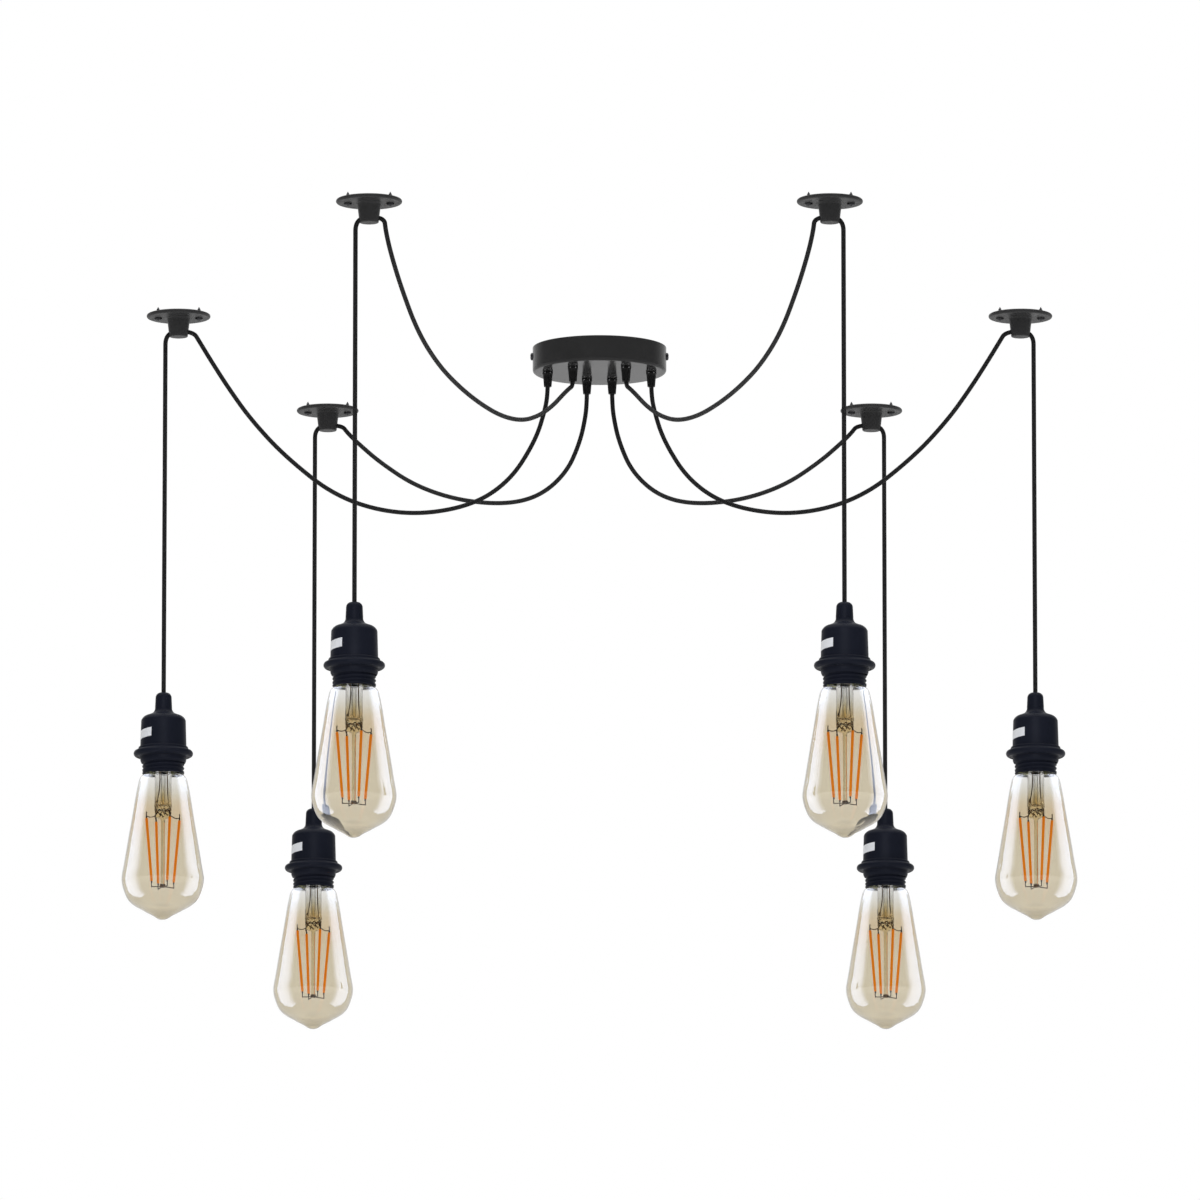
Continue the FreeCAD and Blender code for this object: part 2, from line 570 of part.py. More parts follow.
def mounting_bracket():
    """The folded strap on the ceiling; its tabs take the rose's side screws."""
    body = new_body("mounting_bracket")
    tab = "(sqrt((rose_diameter / 2 - rose_wall - seat_clearance) ^ 2 - (bracket_width / 2) ^ 2))"
    outer = "(bracket_fold_radius + bracket_sheet)"
    soft = "(1 - sin(45 deg))"

    def half_strap(sketch):
        draw_outline(sketch, ("0", "0"), [
            ("line", (tab + " - " + outer, "0")),
            ("arc", ("%s - %s * %s" % (tab, outer, soft), "-%s * %s" % (outer, soft)), (tab, "-" + outer)),
            ("line", (tab, "-bracket_tab_drop")),
            ("line", (tab + " - bracket_sheet", "-bracket_tab_drop")),
            ("line", (tab + " - bracket_sheet", "-" + outer)),
            ("arc", ("%s - bracket_sheet - bracket_fold_radius * %s" % (tab, soft),
                     "-bracket_sheet - bracket_fold_radius * " + soft),
             (tab + " - " + outer, "-bracket_sheet")),
            ("line", ("0", "-bracket_sheet")),
            ("line", ("0", "0")),
        ])

    half = padded(body, "HalfStrap", "XZ_Plane", "bracket_width", half_strap)
    doc.recompute()
    strap = body.newObject("PartDesign::Mirrored", "Strap")
    strap.Originals = [half]
    strap.MirrorPlane = (next(flat for flat in body.Origin.OriginFeatures if flat.Role == "YZ_Plane"), [""])
    body.Tip = strap
    doc.recompute()
    reach = "2 * bracket_tab_drop + 2 * overrun"

    def ceiling_slots(sketch):
        for sign in ("-", ""):
            draw_slot(sketch, sign + "bracket_slot_pitch / 2", "bracket_slot_length", "bracket_slot_width")

    pocketed(body, "CeilingSlots", "XY_Plane", reach, ceiling_slots)
    pocketed(body, "SupplyHole", "XY_Plane", reach,
             lambda sketch: draw_circle(sketch, "-supply_hole_offset", "0", "supply_hole"))
    pocketed(body, "TabHoles", "YZ_Plane", "rose_diameter + 2 * overrun",
             lambda sketch: draw_circle(sketch, "0", "-side_screw_drop", "side_screw_diameter"))
    return body


def terminal_block():
    """A screw terminal block under the bracket, one raised housing for each pole."""
    body = new_body("terminal_block")
    count = int(mm("block_pole_count"))
    poles = ["(block_offset + block_pole_pitch * %s)" % (number - (count - 1) / 2) for number in range(count)]
    left = "block_offset - block_pole_count * block_pole_pitch / 2"
    right = "block_offset + block_pole_count * block_pole_pitch / 2"
    top = "-bracket_sheet"
    barrel = "block_barrel_width / 2"
    foot = "-bracket_sheet - block_base_height"
    end = "-bracket_sheet - block_height"
    steps = [("line", (right, top)), ("line", (right, foot))]
    for pole in reversed(poles):
        steps += [
            ("line", (pole + " + " + barrel, foot)),
            ("line", (pole + " + " + barrel, end + " + " + barrel)),
            ("arc", (pole, end), (pole + " - " + barrel, end + " + " + barrel)),
            ("line", (pole + " - " + barrel, foot)),
        ]
    steps += [("line", (left, foot)), ("line", (left, top))]
    padded(body, "PoleHousings", "XZ_Plane", "block_depth",
           lambda sketch: draw_outline(sketch, (left, top), steps))
    doc.recompute()

    def wire_entries(sketch):
        for pole in poles:
            draw_circle(sketch, pole, end + " + " + barrel, "block_wire_hole")

    def screw_wells(sketch):
        for pole in poles:
            for sign in ("-", ""):
                draw_circle(sketch, pole, sign + "block_depth / 4", "block_screw_hole")

    pocketed(body, "WireEntries", "XZ_Plane", "block_depth + 2 * overrun", wire_entries)
    pocketed(body, "ScrewWells", "XY_Plane", "2 * " + barrel, screw_wells, lift=end)
    return body


# Cord grips

def cord_grip():
    """A tapered, fluted strain relief with its threaded stem, seated at z = 0."""
    body = new_body("cord_grip")
    bore = "cord_bore / 2"
    stem = "rose_wall + grip_nut_height + grip_stem_proud"
    turned(body, "GripTurned", (bore, stem), [
        ("line", ("grip_stem_diameter / 2", stem)),
        ("line", ("grip_stem_diameter / 2", "0")),
        ("line", ("grip_collar_diameter / 2", "0")),
        ("line", ("grip_collar_diameter / 2", "-grip_collar_height * (1 - grip_collar_edge_share)")),
        ("line", ("grip_shoulder_diameter / 2", "-grip_collar_height")),
        ("line", ("grip_end_diameter / 2", "-grip_length")),
        ("line", (bore, "-grip_length")),
        ("line", (bore, stem)),
    ])
    doc.recompute()
    flutes = pocketed(
        body, "FirstFlute", "XY_Plane", "grip_length - grip_collar_height - grip_flute_width",
        lambda sketch: draw_circle(sketch, "grip_shoulder_diameter / 2", "0", "grip_flute_width"),
        lift="-(grip_length + grip_collar_height) / 2")
    pattern = body.newObject("PartDesign::PolarPattern", "Flutes")
    pattern.Originals = [flutes]
    pattern.Axis = (flutes.Profile[0], ["N_Axis"])
    pattern.Angle = 360
    bind(pattern, {"Occurrences": "grip_flute_count"})
    body.Tip = pattern
    return body


# Ceiling hooks

def ceiling_hook():
    """A round plate with a tapered boss; the cord runs sideways through the boss."""
    body = new_body("ceiling_hook")
    plate = "hook_plate_diameter / 2"
    rim = "hook_plate_thickness / 2"
    root = "hook_boss_root_diameter / 2"
    end = "hook_boss_end_diameter / 2"
    soft = "(1 - sin(45 deg))"
    turned(body, "HookTurned", ("0", "0"), [
        ("line", (plate + " - " + rim, "0")),
        ("arc", (plate, "-" + rim), (plate + " - " + rim, "-hook_plate_thickness")),
        ("line", (root + " + hook_root_fillet", "-hook_plate_thickness")),
        ("arc", (root + " + hook_root_fillet * " + soft,
                 "-hook_plate_thickness - hook_root_fillet * " + soft),
         (root, "-hook_plate_thickness - hook_root_fillet")),
        ("line", (end, "-hook_drop + hook_end_fillet")),
        ("arc", (end + " - hook_end_fillet * " + soft, "-hook_drop + hook_end_fillet * " + soft),
         (end + " - hook_end_fillet", "-hook_drop")),
        ("line", ("0", "-hook_drop")),
        ("line", ("0", "0")),
    ])
    doc.recompute()
    pocketed(body, "CordTunnel", "YZ_Plane", "hook_boss_root_diameter + 2 * overrun",
             lambda sketch: draw_circle(sketch, "0", "-hook_tunnel_drop", "hook_tunnel_diameter"))

    def screw_holes(sketch):
        for sign in ("-", ""):
            draw_circle(sketch, sign + "hook_screw_pitch / 2", "0", "hook_screw_diameter + screw_clearance")

    pocketed(body, "ScrewHoles", "XY_Plane", "2 * hook_plate_thickness + 2 * overrun", screw_holes)
    return body


# Lamp holder, from the top of its neck down

def holder_cap():
    """The domed cap: cord neck, flare, shoulder and side wall, hollow below."""
    body = new_body("holder_cap")
    bore = "cord_bore / 2"
    inside = "cap_bore / 2"
    turned(body, "CapTurned", (bore, "0"), [
        ("arc", ("neck_dome_diameter / 2 * dome_curve_share", "-neck_dome_height * dome_curve_fall_share"),
         ("neck_dome_diameter / 2", "-neck_dome_height")),
        ("line", ("neck_diameter / 2", "-neck_length")),
        ("arc", ("(neck_diameter + flare_diameter) / 4 * flare_curve_share",
                 "-neck_length - flare_height * flare_curve_fall_share"),
         ("flare_diameter / 2", "-flare_depth")),
        ("arc", ("flare_diameter / 2 + (shoulder_diameter - flare_diameter) / 2 * shoulder_curve_share",
                 "-flare_depth - shoulder_height * shoulder_curve_fall_share"),
         ("shoulder_diameter / 2", "-shoulder_depth")),
        ("line", ("cap_end_diameter / 2", "-cap_depth")),
        ("line", (inside, "-cap_depth")),
        ("line", (inside, "-shoulder_depth - cap_roof")),
        ("line", ("flare_diameter / 2", "-flare_depth - cap_roof")),
        ("line", (bore, "-flare_depth - cap_roof")),
        ("line", (bore, "0")),
    ])
    return body


def holder_barrel():
    """The barrel that the bulb screws into, closed above, ribbed where the ring runs."""
    body = new_body("holder_barrel")
    upper = "barrel_neck_diameter / 2"
    crest = "barrel_diameter / 2"
    bore = "barrel_bore / 2"
    ceiling = "-shell_depth"
    turned(body, "BarrelTurned", ("0", "-closure_depth"), [
        ("line", (upper, "-closure_depth")),
        ("line", (upper, "-cap_depth")),
        ("line", (crest, "-cap_depth")),
        ("line", (crest, "-holder_depth")),
        ("line", (bore, "-holder_depth")),
        ("line", (bore, ceiling)),
        ("line", ("0", ceiling)),
        ("line", ("0", "-closure_depth")),
    ])
    doc.recompute()
    root = crest + " - barrel_rib_depth"
    deep = "-holder_depth + barrel_rib_pitch"
    rib = grooved(body, "FirstRootTurned", (crest + " + overrun", deep + " + barrel_rib_pitch / 4"), [
        ("line", (crest, deep + " + barrel_rib_pitch / 4")),
        ("arc", (root, deep), (crest, deep + " - barrel_rib_pitch / 4")),
        ("line", (crest + " + overrun", deep + " - barrel_rib_pitch / 4")),
        ("line", (crest + " + overrun", deep + " + barrel_rib_pitch / 4")),
    ])
    row = body.newObject("PartDesign::LinearPattern", "ThreadRoots")
    row.Originals = [rib]
    row.Direction = (rib.Profile[0], ["V_Axis"])
    bind(row, {
        "Length": "(barrel_root_count - 1) * barrel_rib_pitch",
        "Occurrences": "barrel_root_count",
    })
    body.Tip = row
    return body


def holder_contacts():
    """The metal screw shell and the centre contact on the barrel's closing wall."""
    ceiling = "-shell_depth"
    shell = new_body("screw_shell")
    inner = "shell_bore / 2"
    outer = "(shell_bore / 2 + shell_sheet)"
    foot = ceiling + " - shell_length"
    turned(shell, "ShellTurned", ("shell_lip_bore / 2", ceiling), [
        ("line", (outer, ceiling)),
        ("line", (outer, foot)),
        ("line", (inner, foot)),
        ("line", (inner, ceiling + " - shell_sheet")),
        ("line", ("shell_lip_bore / 2", ceiling + " - shell_sheet")),
        ("line", ("shell_lip_bore / 2", ceiling)),
    ])
    tongue = new_body("centre_contact")
    tip = "-contact_depth"
    turned(tongue, "TongueTurned", ("0", ceiling), [
        ("line", ("tongue_diameter / 2", ceiling)),
        ("line", ("tongue_diameter / 2", ceiling + " - shell_sheet")),
        ("line", ("tongue_diameter / 2 * tongue_end_share", tip)),
        ("line", ("0", tip)),
        ("line", ("0", ceiling)),
    ])
    return group("holder_contacts", [shell, tongue])


def shade_ring():
    """The flanged ring that runs on the barrel's thread and holds a shade."""
    body = new_body("shade_ring")
    inner = "ring_bore / 2"
    top = "(-cap_depth - ring_gap)"
    flange_top = "(%s - ring_hub_height)" % top
    flange_foot = "(%s - ring_flange_height)" % flange_top
    foot = "(%s - ring_height)" % top
    edge = "ring_flange_height / 2"
    hub = "ring_hub_diameter / 2"
    rim = "ring_flange_diameter / 2"
    collar = "ring_collar_diameter / 2"
    soft = "(1 - sin(45 deg))"
    turned(body, "RingTurned", (inner, top), [
        ("line", (hub, top)),
        ("arc", (hub + " + ring_hub_height * " + soft, flange_top + " + ring_hub_height * " + soft),
         (hub + " + ring_hub_height", flange_top)),
        ("line", (rim + " - " + edge, flange_top)),
        ("arc", (rim, flange_top + " - " + edge), (rim + " - " + edge, flange_foot)),
        ("line", (collar, flange_foot)),
        ("line", (collar, foot + " + ring_foot_radius")),
        ("arc", (collar + " - ring_foot_radius * " + soft, foot + " + ring_foot_radius * " + soft),
         (collar + " - ring_foot_radius", foot)),
        ("line", (inner, foot)),
        ("line", (inner, top)),
    ])
    return body


# Bulb, from the same top as its holder

def outline_steps(shares, inner, inset):
    """Outline steps down the envelope, moved inwards by a named wall.

    Across is a share of the way from an inner radius to the bulb's radius.
    """
    steps = []
    for kind, across, down, facing_out, facing_down in shares:
        point = ("%s + (bulb_diameter / 2 - %s) * %s - %s * %s" % (inner, inner, across, inset, facing_out),
                 "-holder_depth - bulb_length * %s + %s * %s" % (down, inset, facing_down))
        if kind == "middle":
            middle = point
        elif kind == "arc":
            steps.append(("arc", middle, point))
        else:
            steps.append(("line", point))
    return steps


def glass_envelope():
    """The blown envelope: neck, long taper, belly, rounded end and tip nipple."""
    body = new_body("glass_envelope")
    neck_top = "-holder_depth + bulb_neck_rise"
    neck = "bulb_neck_diameter / 2"
    turned(body, "EnvelopeTurned", (neck, neck_top),
           outline_steps(SHOULDER_SHARES, neck, "0")
           + outline_steps(BELLY_SHARES, "0", "0")
           + outline_steps(TIP_SHARES, "0", "0")
           + [("line", ("0", neck_top)), ("line", (neck, neck_top))])
    doc.recompute()
    inner_neck = neck + " - glass_wall"
    over = neck_top + " + overrun"
    floor = "-holder_depth - bulb_length * %s + glass_wall" % TIP_FLOOR_SHARE
    grooved(body, "BlownInside", (inner_neck, over),
            outline_steps(SHOULDER_SHARES, neck, "glass_wall")
            + outline_steps(BELLY_SHARES, "0", "glass_wall")
            + [("line", ("0", floor)), ("line", ("0", over)), ("line", (inner_neck, over))])
    return body


def glass_stem():
    """The stem: flare in the neck, tube, flattened pinch and the rod below it."""
    body = new_body("stem_tube")
    neck_top = "-holder_depth + bulb_neck_rise"
    flare = "bulb_neck_diameter / 2 - glass_wall"
    outer = "stem_diameter / 2"
    inner = "(stem_diameter / 2 - stem_wall)"
    end = "-holder_depth - stem_depth"
    turned(body, "StemTurned", (flare, neck_top), [
        ("line", (flare, neck_top + " - stem_wall")),
        ("arc", (outer + " + stem_wall", neck_top + " - stem_flare_height"), (outer, "-holder_depth")),
        ("line", (outer, end)),
        ("line", ("0", end)),
        ("line", ("0", end + " + stem_wall")),
        ("line", (inner, end + " + stem_wall")),
        ("line", (inner, "-holder_depth")),
        ("arc", (inner + " + stem_wall / 2", neck_top + " - stem_flare_height"),
         (inner + " + stem_wall", neck_top)),
        ("line", (flare, neck_top)),
    ])
    circle = doc.addObject("Part::Circle", "PinchTop")
    bind(circle, {"Radius": outer, "Placement.Base.z": end})
    pinched = doc.addObject("Part::Ellipse", "PinchFoot")
    bind(pinched, {
        "MajorRadius": "stem_diameter / 2",
        "MinorRadius": "pinch_thickness / 2",
        "Placement.Base.z": end + " - pinch_length * pinch_flat_share",
    })
    pinched_end = doc.addObject("Part::Ellipse", "PinchEnd")
    bind(pinched_end, {
        "MajorRadius": "stem_diameter / 2 * pinch_end_share",
        "MinorRadius": "pinch_thickness / 2",
        "Placement.Base.z": end + " - pinch_length",
    })
    pinch = doc.addObject("Part::Loft", "Pinch")
    pinch.Sections = [circle, pinched, pinched_end]
    pinch.Solid = True
    pinch.Ruled = True
    rod = doc.addObject("Part::Cylinder", "StemRod")
    bind(rod, {
        "Radius": "rod_diameter / 2",
        "Height": "rod_depth - stem_depth - pinch_length",
        "Placement.Base.z": "-holder_depth - rod_depth",
    })
    stem = doc.addObject("Part::MultiFuse", "glass_stem")
    stem.Shapes = [body, pinch, rod]
    return stem


def bulb_base():
    """The screw base: thin metal shell, black insulator and tip contact."""
    shell = new_body("base_shell")
    outer = "base_diameter / 2"
    inner = "(base_diameter / 2 - base_sheet)"
    rim = "-holder_depth + base_rim_rise"
    tip = "-holder_depth + base_rise"
    seat = "(%s - base_tip_height - base_insulator_height)" % tip
    hole = "base_insulator_diameter / 2"
    shoulder = seat + " - base_shoulder_height"
    turned(shell, "BaseShellTurned", (inner, rim), [
        ("line", (outer, rim)),
        ("line", (outer, shoulder)),
        ("line", (hole, seat)),
        ("line", (hole + " - base_lip", seat)),
        ("line", (inner, shoulder + " - base_sheet")),
        ("line", (inner, rim)),
    ])
    insulator = new_body("base_insulator")
    turned(insulator, "InsulatorTurned", ("0", seat), [
        ("line", (hole + " - base_lip / 2", seat)),
        ("line", ("base_tip_diameter / 2 + base_land", tip + " - base_tip_height")),
        ("line", ("0", tip + " - base_tip_height")),
        ("line", ("0", seat)),
    ])
    contact = new_body("base_tip")
    turned(contact, "TipTurned", ("0", tip + " - base_tip_height"), [
        ("line", ("base_tip_diameter / 2", tip + " - base_tip_height")),
        ("arc", ("base_tip_diameter / 2 * tip_curve_share",
                 tip + " - base_tip_height * tip_curve_fall_share"),
         ("base_tip_diameter / 2 * tip_crown_share", tip)),
        ("line", ("0", tip)),
        ("line", ("0", tip + " - base_tip_height")),
    ])
    return group("bulb_base", [shell, insulator, contact])


def rod_between(name, start, end, diameter):
    """A round rod from one point to another, each point three expressions."""
    rod = doc.addObject("Part::Cylinder", name)
    foot = Vector(*[mm(text) for text in start])
    head = Vector(*[mm(text) for text in end])
    rod.Placement = Placement(foot, Rotation(Vector(0, 0, 1), head - foot))
    steps = ["((%s) - (%s)) ^ 2" % (there, here) for here, there in zip(start, end)]
    bind(rod, {
        "Radius": diameter + " / 2",
        "Height": "sqrt(%s)" % " + ".join(steps),
        "Placement.Base.x": start[0],
        "Placement.Base.y": start[1],
        "Placement.Base.z": start[2],
    })
    return rod


def bulb_filament():
    """Slanted filaments, hung from the pinch and tied at the collar on the rod."""
    rods = []
    top = "-holder_depth - filament_top_depth"
    foot = "-holder_depth - filament_bottom_depth"
    leads = "-holder_depth - stem_depth - pinch_length * lead_exit_share"
    hub = "-holder_depth - rod_depth + hub_height / 2"
    taper = "(lead_exit_share - pinch_flat_share) / (1 - pinch_flat_share)"
    exit_reach = "stem_diameter / 2 * (1 - (1 - pinch_end_share) * %s)" % taper
    tied = "(hub_diameter + rod_diameter) / 4"
    step = 360 / mm("filament_count")
    for number in range(int(mm("filament_count"))):
        turn = mm("filament_turn") + number * step
        cosine = "cos(%s deg)" % turn
        sine = "sin(%s deg)" % turn
        upper = ("filament_top_radius * " + cosine, "filament_top_radius * " + sine, top)
        lower = ("filament_bottom_radius * " + cosine, "filament_bottom_radius * " + sine, foot)
        side = "" if math.cos(math.radians(turn)) > 0 else "-"
        lead = (side + exit_reach, "0", leads)
        tie = (tied + " * " + cosine, tied + " * " + sine, hub)
        rods.append(rod_between("Filament%d" % number, upper, lower, "filament_diameter"))
        rods.append(rod_between("UpperLead%d" % number, lead, upper, "wire_diameter"))
        rods.append(rod_between("LowerLead%d" % number, tie, lower, "wire_diameter"))
    collar_outside = doc.addObject("Part::Cylinder", "HubCollarOutside")
    bind(collar_outside, {
        "Radius": "hub_diameter / 2",
        "Height": "hub_height",
        "Placement.Base.z": "-holder_depth - rod_depth",
    })
    collar_bore = doc.addObject("Part::Cylinder", "HubCollarBore")
    bind(collar_bore, {
        "Radius": "rod_diameter / 2",
        "Height": "hub_height + 2 * overrun",
        "Placement.Base.z": "-holder_depth - rod_depth - overrun",
    })
    collar = doc.addObject("Part::Cut", "HubCollar")
    collar.Base = collar_outside
    collar.Tool = collar_bore
    frame = doc.addObject("Part::MultiFuse", "bulb_filament")
    frame.Shapes = rods + [collar]
    return frame


# Placing pieces

def placed(name, master, across="0", along="0", up="0", turn=None):
    """A linked copy of a master piece at a place given by expressions."""
    copy = doc.addObject("App::Link", name)
    copy.LinkedObject = master
    copy.Label = name
    if turn is not None:
        copy.Placement = Placement(Vector(0, 0, 0), turn)
    bind(copy, {"Placement.Base.x": across, "Placement.Base.y": along, "Placement.Base.z": up})
    return copy


def group(name, members):
    """Several solids that share one node."""
    compound = doc.addObject("Part::Compound", name)
    compound.Label = name
    compound.Links = members
    return compound


def hook_place(row, side):
    """A hook's middle on the ceiling, across and along, as expressions."""
    sign = "-" if SIDES[side] < 0 else ""
    along = "back_hook_behind" if row == "back" else "-%s_hook_ahead" % row
    return "%s%s_hook_across" % (sign, row), along


def drop_across(row, side):
    """Where a light's cord hangs, across, as an expression."""
    return "%s %s bend_reach" % (hook_place(row, side)[0], "-" if SIDES[side] < 0 else "+")


# Cords

def swag_route(row, side):
    """A swag's points: from the swing point through the hook, then on to its grip."""
    outward = SIDES[side]
    hook_across, hook_along = [mm(text) for text in hook_place(row, side)]
    grip_across, grip_along = [mm(text) for text in grip_places()[row, side]]
    tunnel = -mm("hook_tunnel_drop")
    hang = hook_across + outward * mm("bend_reach")
    mouth = Vector(hook_across - outward * mm("mouth_reach"), hook_along, tunnel)
    grip = Vector(grip_across, grip_along, tunnel)
    grip_end = -mm("rose_height") - mm("grip_length")
    lead = mm("front_grip_lead") if row == "front" else mm("grip_lead")
    held = mm("front_cord_in_grip") if row == "front" else mm("cord_in_grip")
    depth = mm(row + "_swag_depth")
    route = [Vector(hang, hook_along, tunnel - mm("bend_fall")), Vector(hang, hook_along, tunnel), mouth]
    for way, fall in SWAG_SHARES[row]:
        route.append(mouth + (grip - mouth) * way - Vector(0, 0, depth * fall))
    route.append(Vector(grip_across, grip_along, grip_end - lead))
    route.append(Vector(grip_across, grip_along, grip_end + held))
    return route


def tube_along(route, diameter, name):
    """A round tube along straight runs joined by the largest tangent arcs that fit."""
    edges = []
    radii = []
    start = route[0]
    for before, corner, after in zip(route, route[1:], route[2:]):
        into = (corner - before).normalize()
        out = (after - corner).normalize()
        turn = into.getAngle(out)
        tangent = ARC_RUN_SHARE * min((corner - before).Length, (after - corner).Length)
        radius = tangent / math.tan(turn / 2)
        radii.append(round(radius, 1))
        first = corner - into * tangent
        last = corner + out * tangent
        inward = (out - into).normalize()
        middle = corner + inward * (radius / math.cos(turn / 2) - radius)
        edges.append(Part.LineSegment(start, first).toShape())
        edges.append(Part.Arc(first, middle, last).toShape())
        start = last
    edges.append(Part.LineSegment(start, route[-1]).toShape())
    path = Part.Wire(edges)
    section = Part.Wire([Part.Circle(route[0], route[1] - route[0], diameter / 2).toShape()])
    tube = path.makePipeShell([section], True, False)
    expected = math.pi * diameter ** 2 / 4 * path.Length
    print("%s: length %.1f, arc radii %s, volume %.1f against %.1f"
          % (name, path.Length, radii, tube.Volume, expected))
    if abs(tube.Volume - expected) > expected * TUBE_VOLUME_SHARE:
        raise ValueError("the tube of %s has a wrong volume" % name)
    return tube


def cord_swag(row, side):
    """The fixed stretch of a cord, from its grip through its ceiling hook."""
    name = "cord_swag_%s_%s" % (row, side)
    cord = doc.addObject("Part::Feature", name)
    cord.Label = name
    cord.Shape = tube_along(swag_route(row, side), mm("cord_diameter"), name)
    return cord


def cord_drop(row, side):
    """The hanging stretch of a cord, from under its hook into the holder's neck."""
    name = "cord_drop_%s_%s" % (row, side)
    top = "hook_tunnel_drop + bend_fall + swing_gap"
    foot = "%s_drop + cord_in_holder" % row
    cord = doc.addObject("Part::Cylinder", name)
    cord.Label = name
    bind(cord, {
        "Radius": "cord_diameter / 2",
        "Height": "%s - (%s)" % (foot, top),
        "Placement.Base.x": drop_across(row, side),
        "Placement.Base.y": hook_place(row, side)[1],
        "Placement.Base.z": "-(%s)" % foot,
    })
    return cord


# Assembly: master pieces first, then every node of the light

hook_master = ceiling_hook()
hook_screw = pan_screw("hook_screw", "hook_screw_head", "hook_screw_head_height",
                       "hook_screw_diameter", "hook_plate_thickness + hook_screw_proud",
                       "hook_screw_shank", "hook_plate_thickness")
side_screw = pan_screw("side_screw", "side_screw_head", "side_screw_head_height",
                       "side_screw_diameter", "side_screw_length")
grip_master = cord_grip()
nut_master = lock_nut()
light_masters = {
    "holder_cap": holder_cap(),
    "holder_barrel": holder_barrel(),
    "holder_contacts": holder_contacts(),
    "shade_ring": shade_ring(),
    "bulb_base": bulb_base(),
    "bulb_glass": group("bulb_glass", [glass_envelope(), glass_stem()]),
    "bulb_filament": bulb_filament(),
}

nodes = [mounting_bracket(), terminal_block()]
rose_body = rose()
rose_body.Label = "canopy"
nodes.append(rose_body)

grips = []
hooks = []
screws = []
for row, side in LIGHTS:
    light = "%s_%s" % (row, side)
    across, along = grip_places()[row, side]
    grips.append(placed("grip_" + light, grip_master, across, along, "-rose_height"))
    grips.append(placed("nut_" + light, nut_master, across, along, "-rose_height + rose_wall"))
    across, along = hook_place(row, side)
    hooks.append(placed("hook_" + light, hook_master, across, along))
    for sign in ("-", "+"):
        screws.append(placed("screw_%s_%s" % (light, "inner" if sign == "-" else "outer"), hook_screw,
                             "%s %s hook_screw_pitch / 2" % (across, sign), along, "-hook_plate_thickness"))
for side, sign in SIDES.items():
    facing = Rotation(Vector(0, 0, 1), Vector(-sign, 0, 0))
    screws.append(placed("side_screw_" + side, side_screw, "%d * rose_diameter / 2" % sign, "0",
                         "-side_screw_drop", turn=facing))
nodes += [group("cord_grips", grips), group("ceiling_hooks", hooks), group("screws", screws)]

for row, side in LIGHTS:
    nodes.append(cord_swag(row, side))
    nodes.append(cord_drop(row, side))
    for kind, master in light_masters.items():
        nodes.append(placed("%s_%s_%s" % (kind, row, side), master,
                            drop_across(row, side), hook_place(row, side)[1], "-%s_drop" % row))
doc.recompute()

# Every object and every node has to be sound before anything is written
for thing in doc.Objects:
    if "Invalid" in thing.State or "Error" in thing.State:
        raise ValueError("%s is %s" % (thing.Label, thing.State))
os.makedirs("parts", exist_ok=True)
for node in nodes:
    shape = Part.getShape(node)
    if shape.isNull() or not shape.isValid() or not shape.Solids:
        raise ValueError("%s has no sound solid" % node.Label)
for node in nodes:
    Part.getShape(node).exportStep("parts/%s.step" % node.Label)
print("%d nodes, %d solids" % (len(nodes), sum(len(Part.getShape(node).Solids) for node in nodes)))
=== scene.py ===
# Spider pendant light: one ceiling rose, six swagged cords on ceiling hooks, and six lamp
# holders with shade rings and filament bulbs. Metres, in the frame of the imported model.
import math

import bmesh
import bpy
import numpy as np
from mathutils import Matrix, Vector


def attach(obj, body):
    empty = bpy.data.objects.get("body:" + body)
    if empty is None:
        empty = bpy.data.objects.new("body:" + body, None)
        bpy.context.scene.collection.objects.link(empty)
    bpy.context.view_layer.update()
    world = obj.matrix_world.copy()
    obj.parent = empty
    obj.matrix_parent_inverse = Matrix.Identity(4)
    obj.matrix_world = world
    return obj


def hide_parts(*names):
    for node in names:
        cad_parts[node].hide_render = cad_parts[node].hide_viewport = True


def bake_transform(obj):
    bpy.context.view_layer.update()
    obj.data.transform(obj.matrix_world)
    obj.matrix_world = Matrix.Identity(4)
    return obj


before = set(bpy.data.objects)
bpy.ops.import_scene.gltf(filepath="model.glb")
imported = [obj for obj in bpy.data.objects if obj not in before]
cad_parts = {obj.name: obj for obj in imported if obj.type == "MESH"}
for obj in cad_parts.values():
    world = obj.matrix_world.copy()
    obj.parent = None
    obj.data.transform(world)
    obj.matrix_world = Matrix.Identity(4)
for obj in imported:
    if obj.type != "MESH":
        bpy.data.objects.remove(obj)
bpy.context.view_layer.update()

# Sizes in millimetres, as the solids have them. Heights in the rose and hooks are measured
# from the ceiling, those in a lamp from the top of its holder.
MM = 0.001
CORD = 3.5
TUNNEL_Z = -13.5
MOUTH_REACH = 11.5
BEND_REACH = 10.2
STRAIGHT_BELOW_BEND = 21.0
GRIP_END_Z = -32.2
CORD_IN_HOLDER = 10.0
CHANNEL_RADIUS = 2.35
PLATE_Z = -3.0
HOLE_REACH = 16.0
ROSE_Z = -20.0
ROSE_RADIUS = 53.0
SIDE_SCREW_Z = -7.0
MOUTH = -64.5
BULB_LENGTH = 114.9
BULB_RADIUS = 32.0
NECK_RADIUS = 11.9
WALL = 0.35
CAP_WALL = ((17.4, -22.2), (18.05, -43.7))
BARREL_RADIUS = 16.4
ROD_RADIUS = 1.6

# How finely turned surfaces are divided round their axis
TURNED = 128
GLASS_TURNED = 136
ROSE_TURNED = 160
SCREW_TURNED = 64

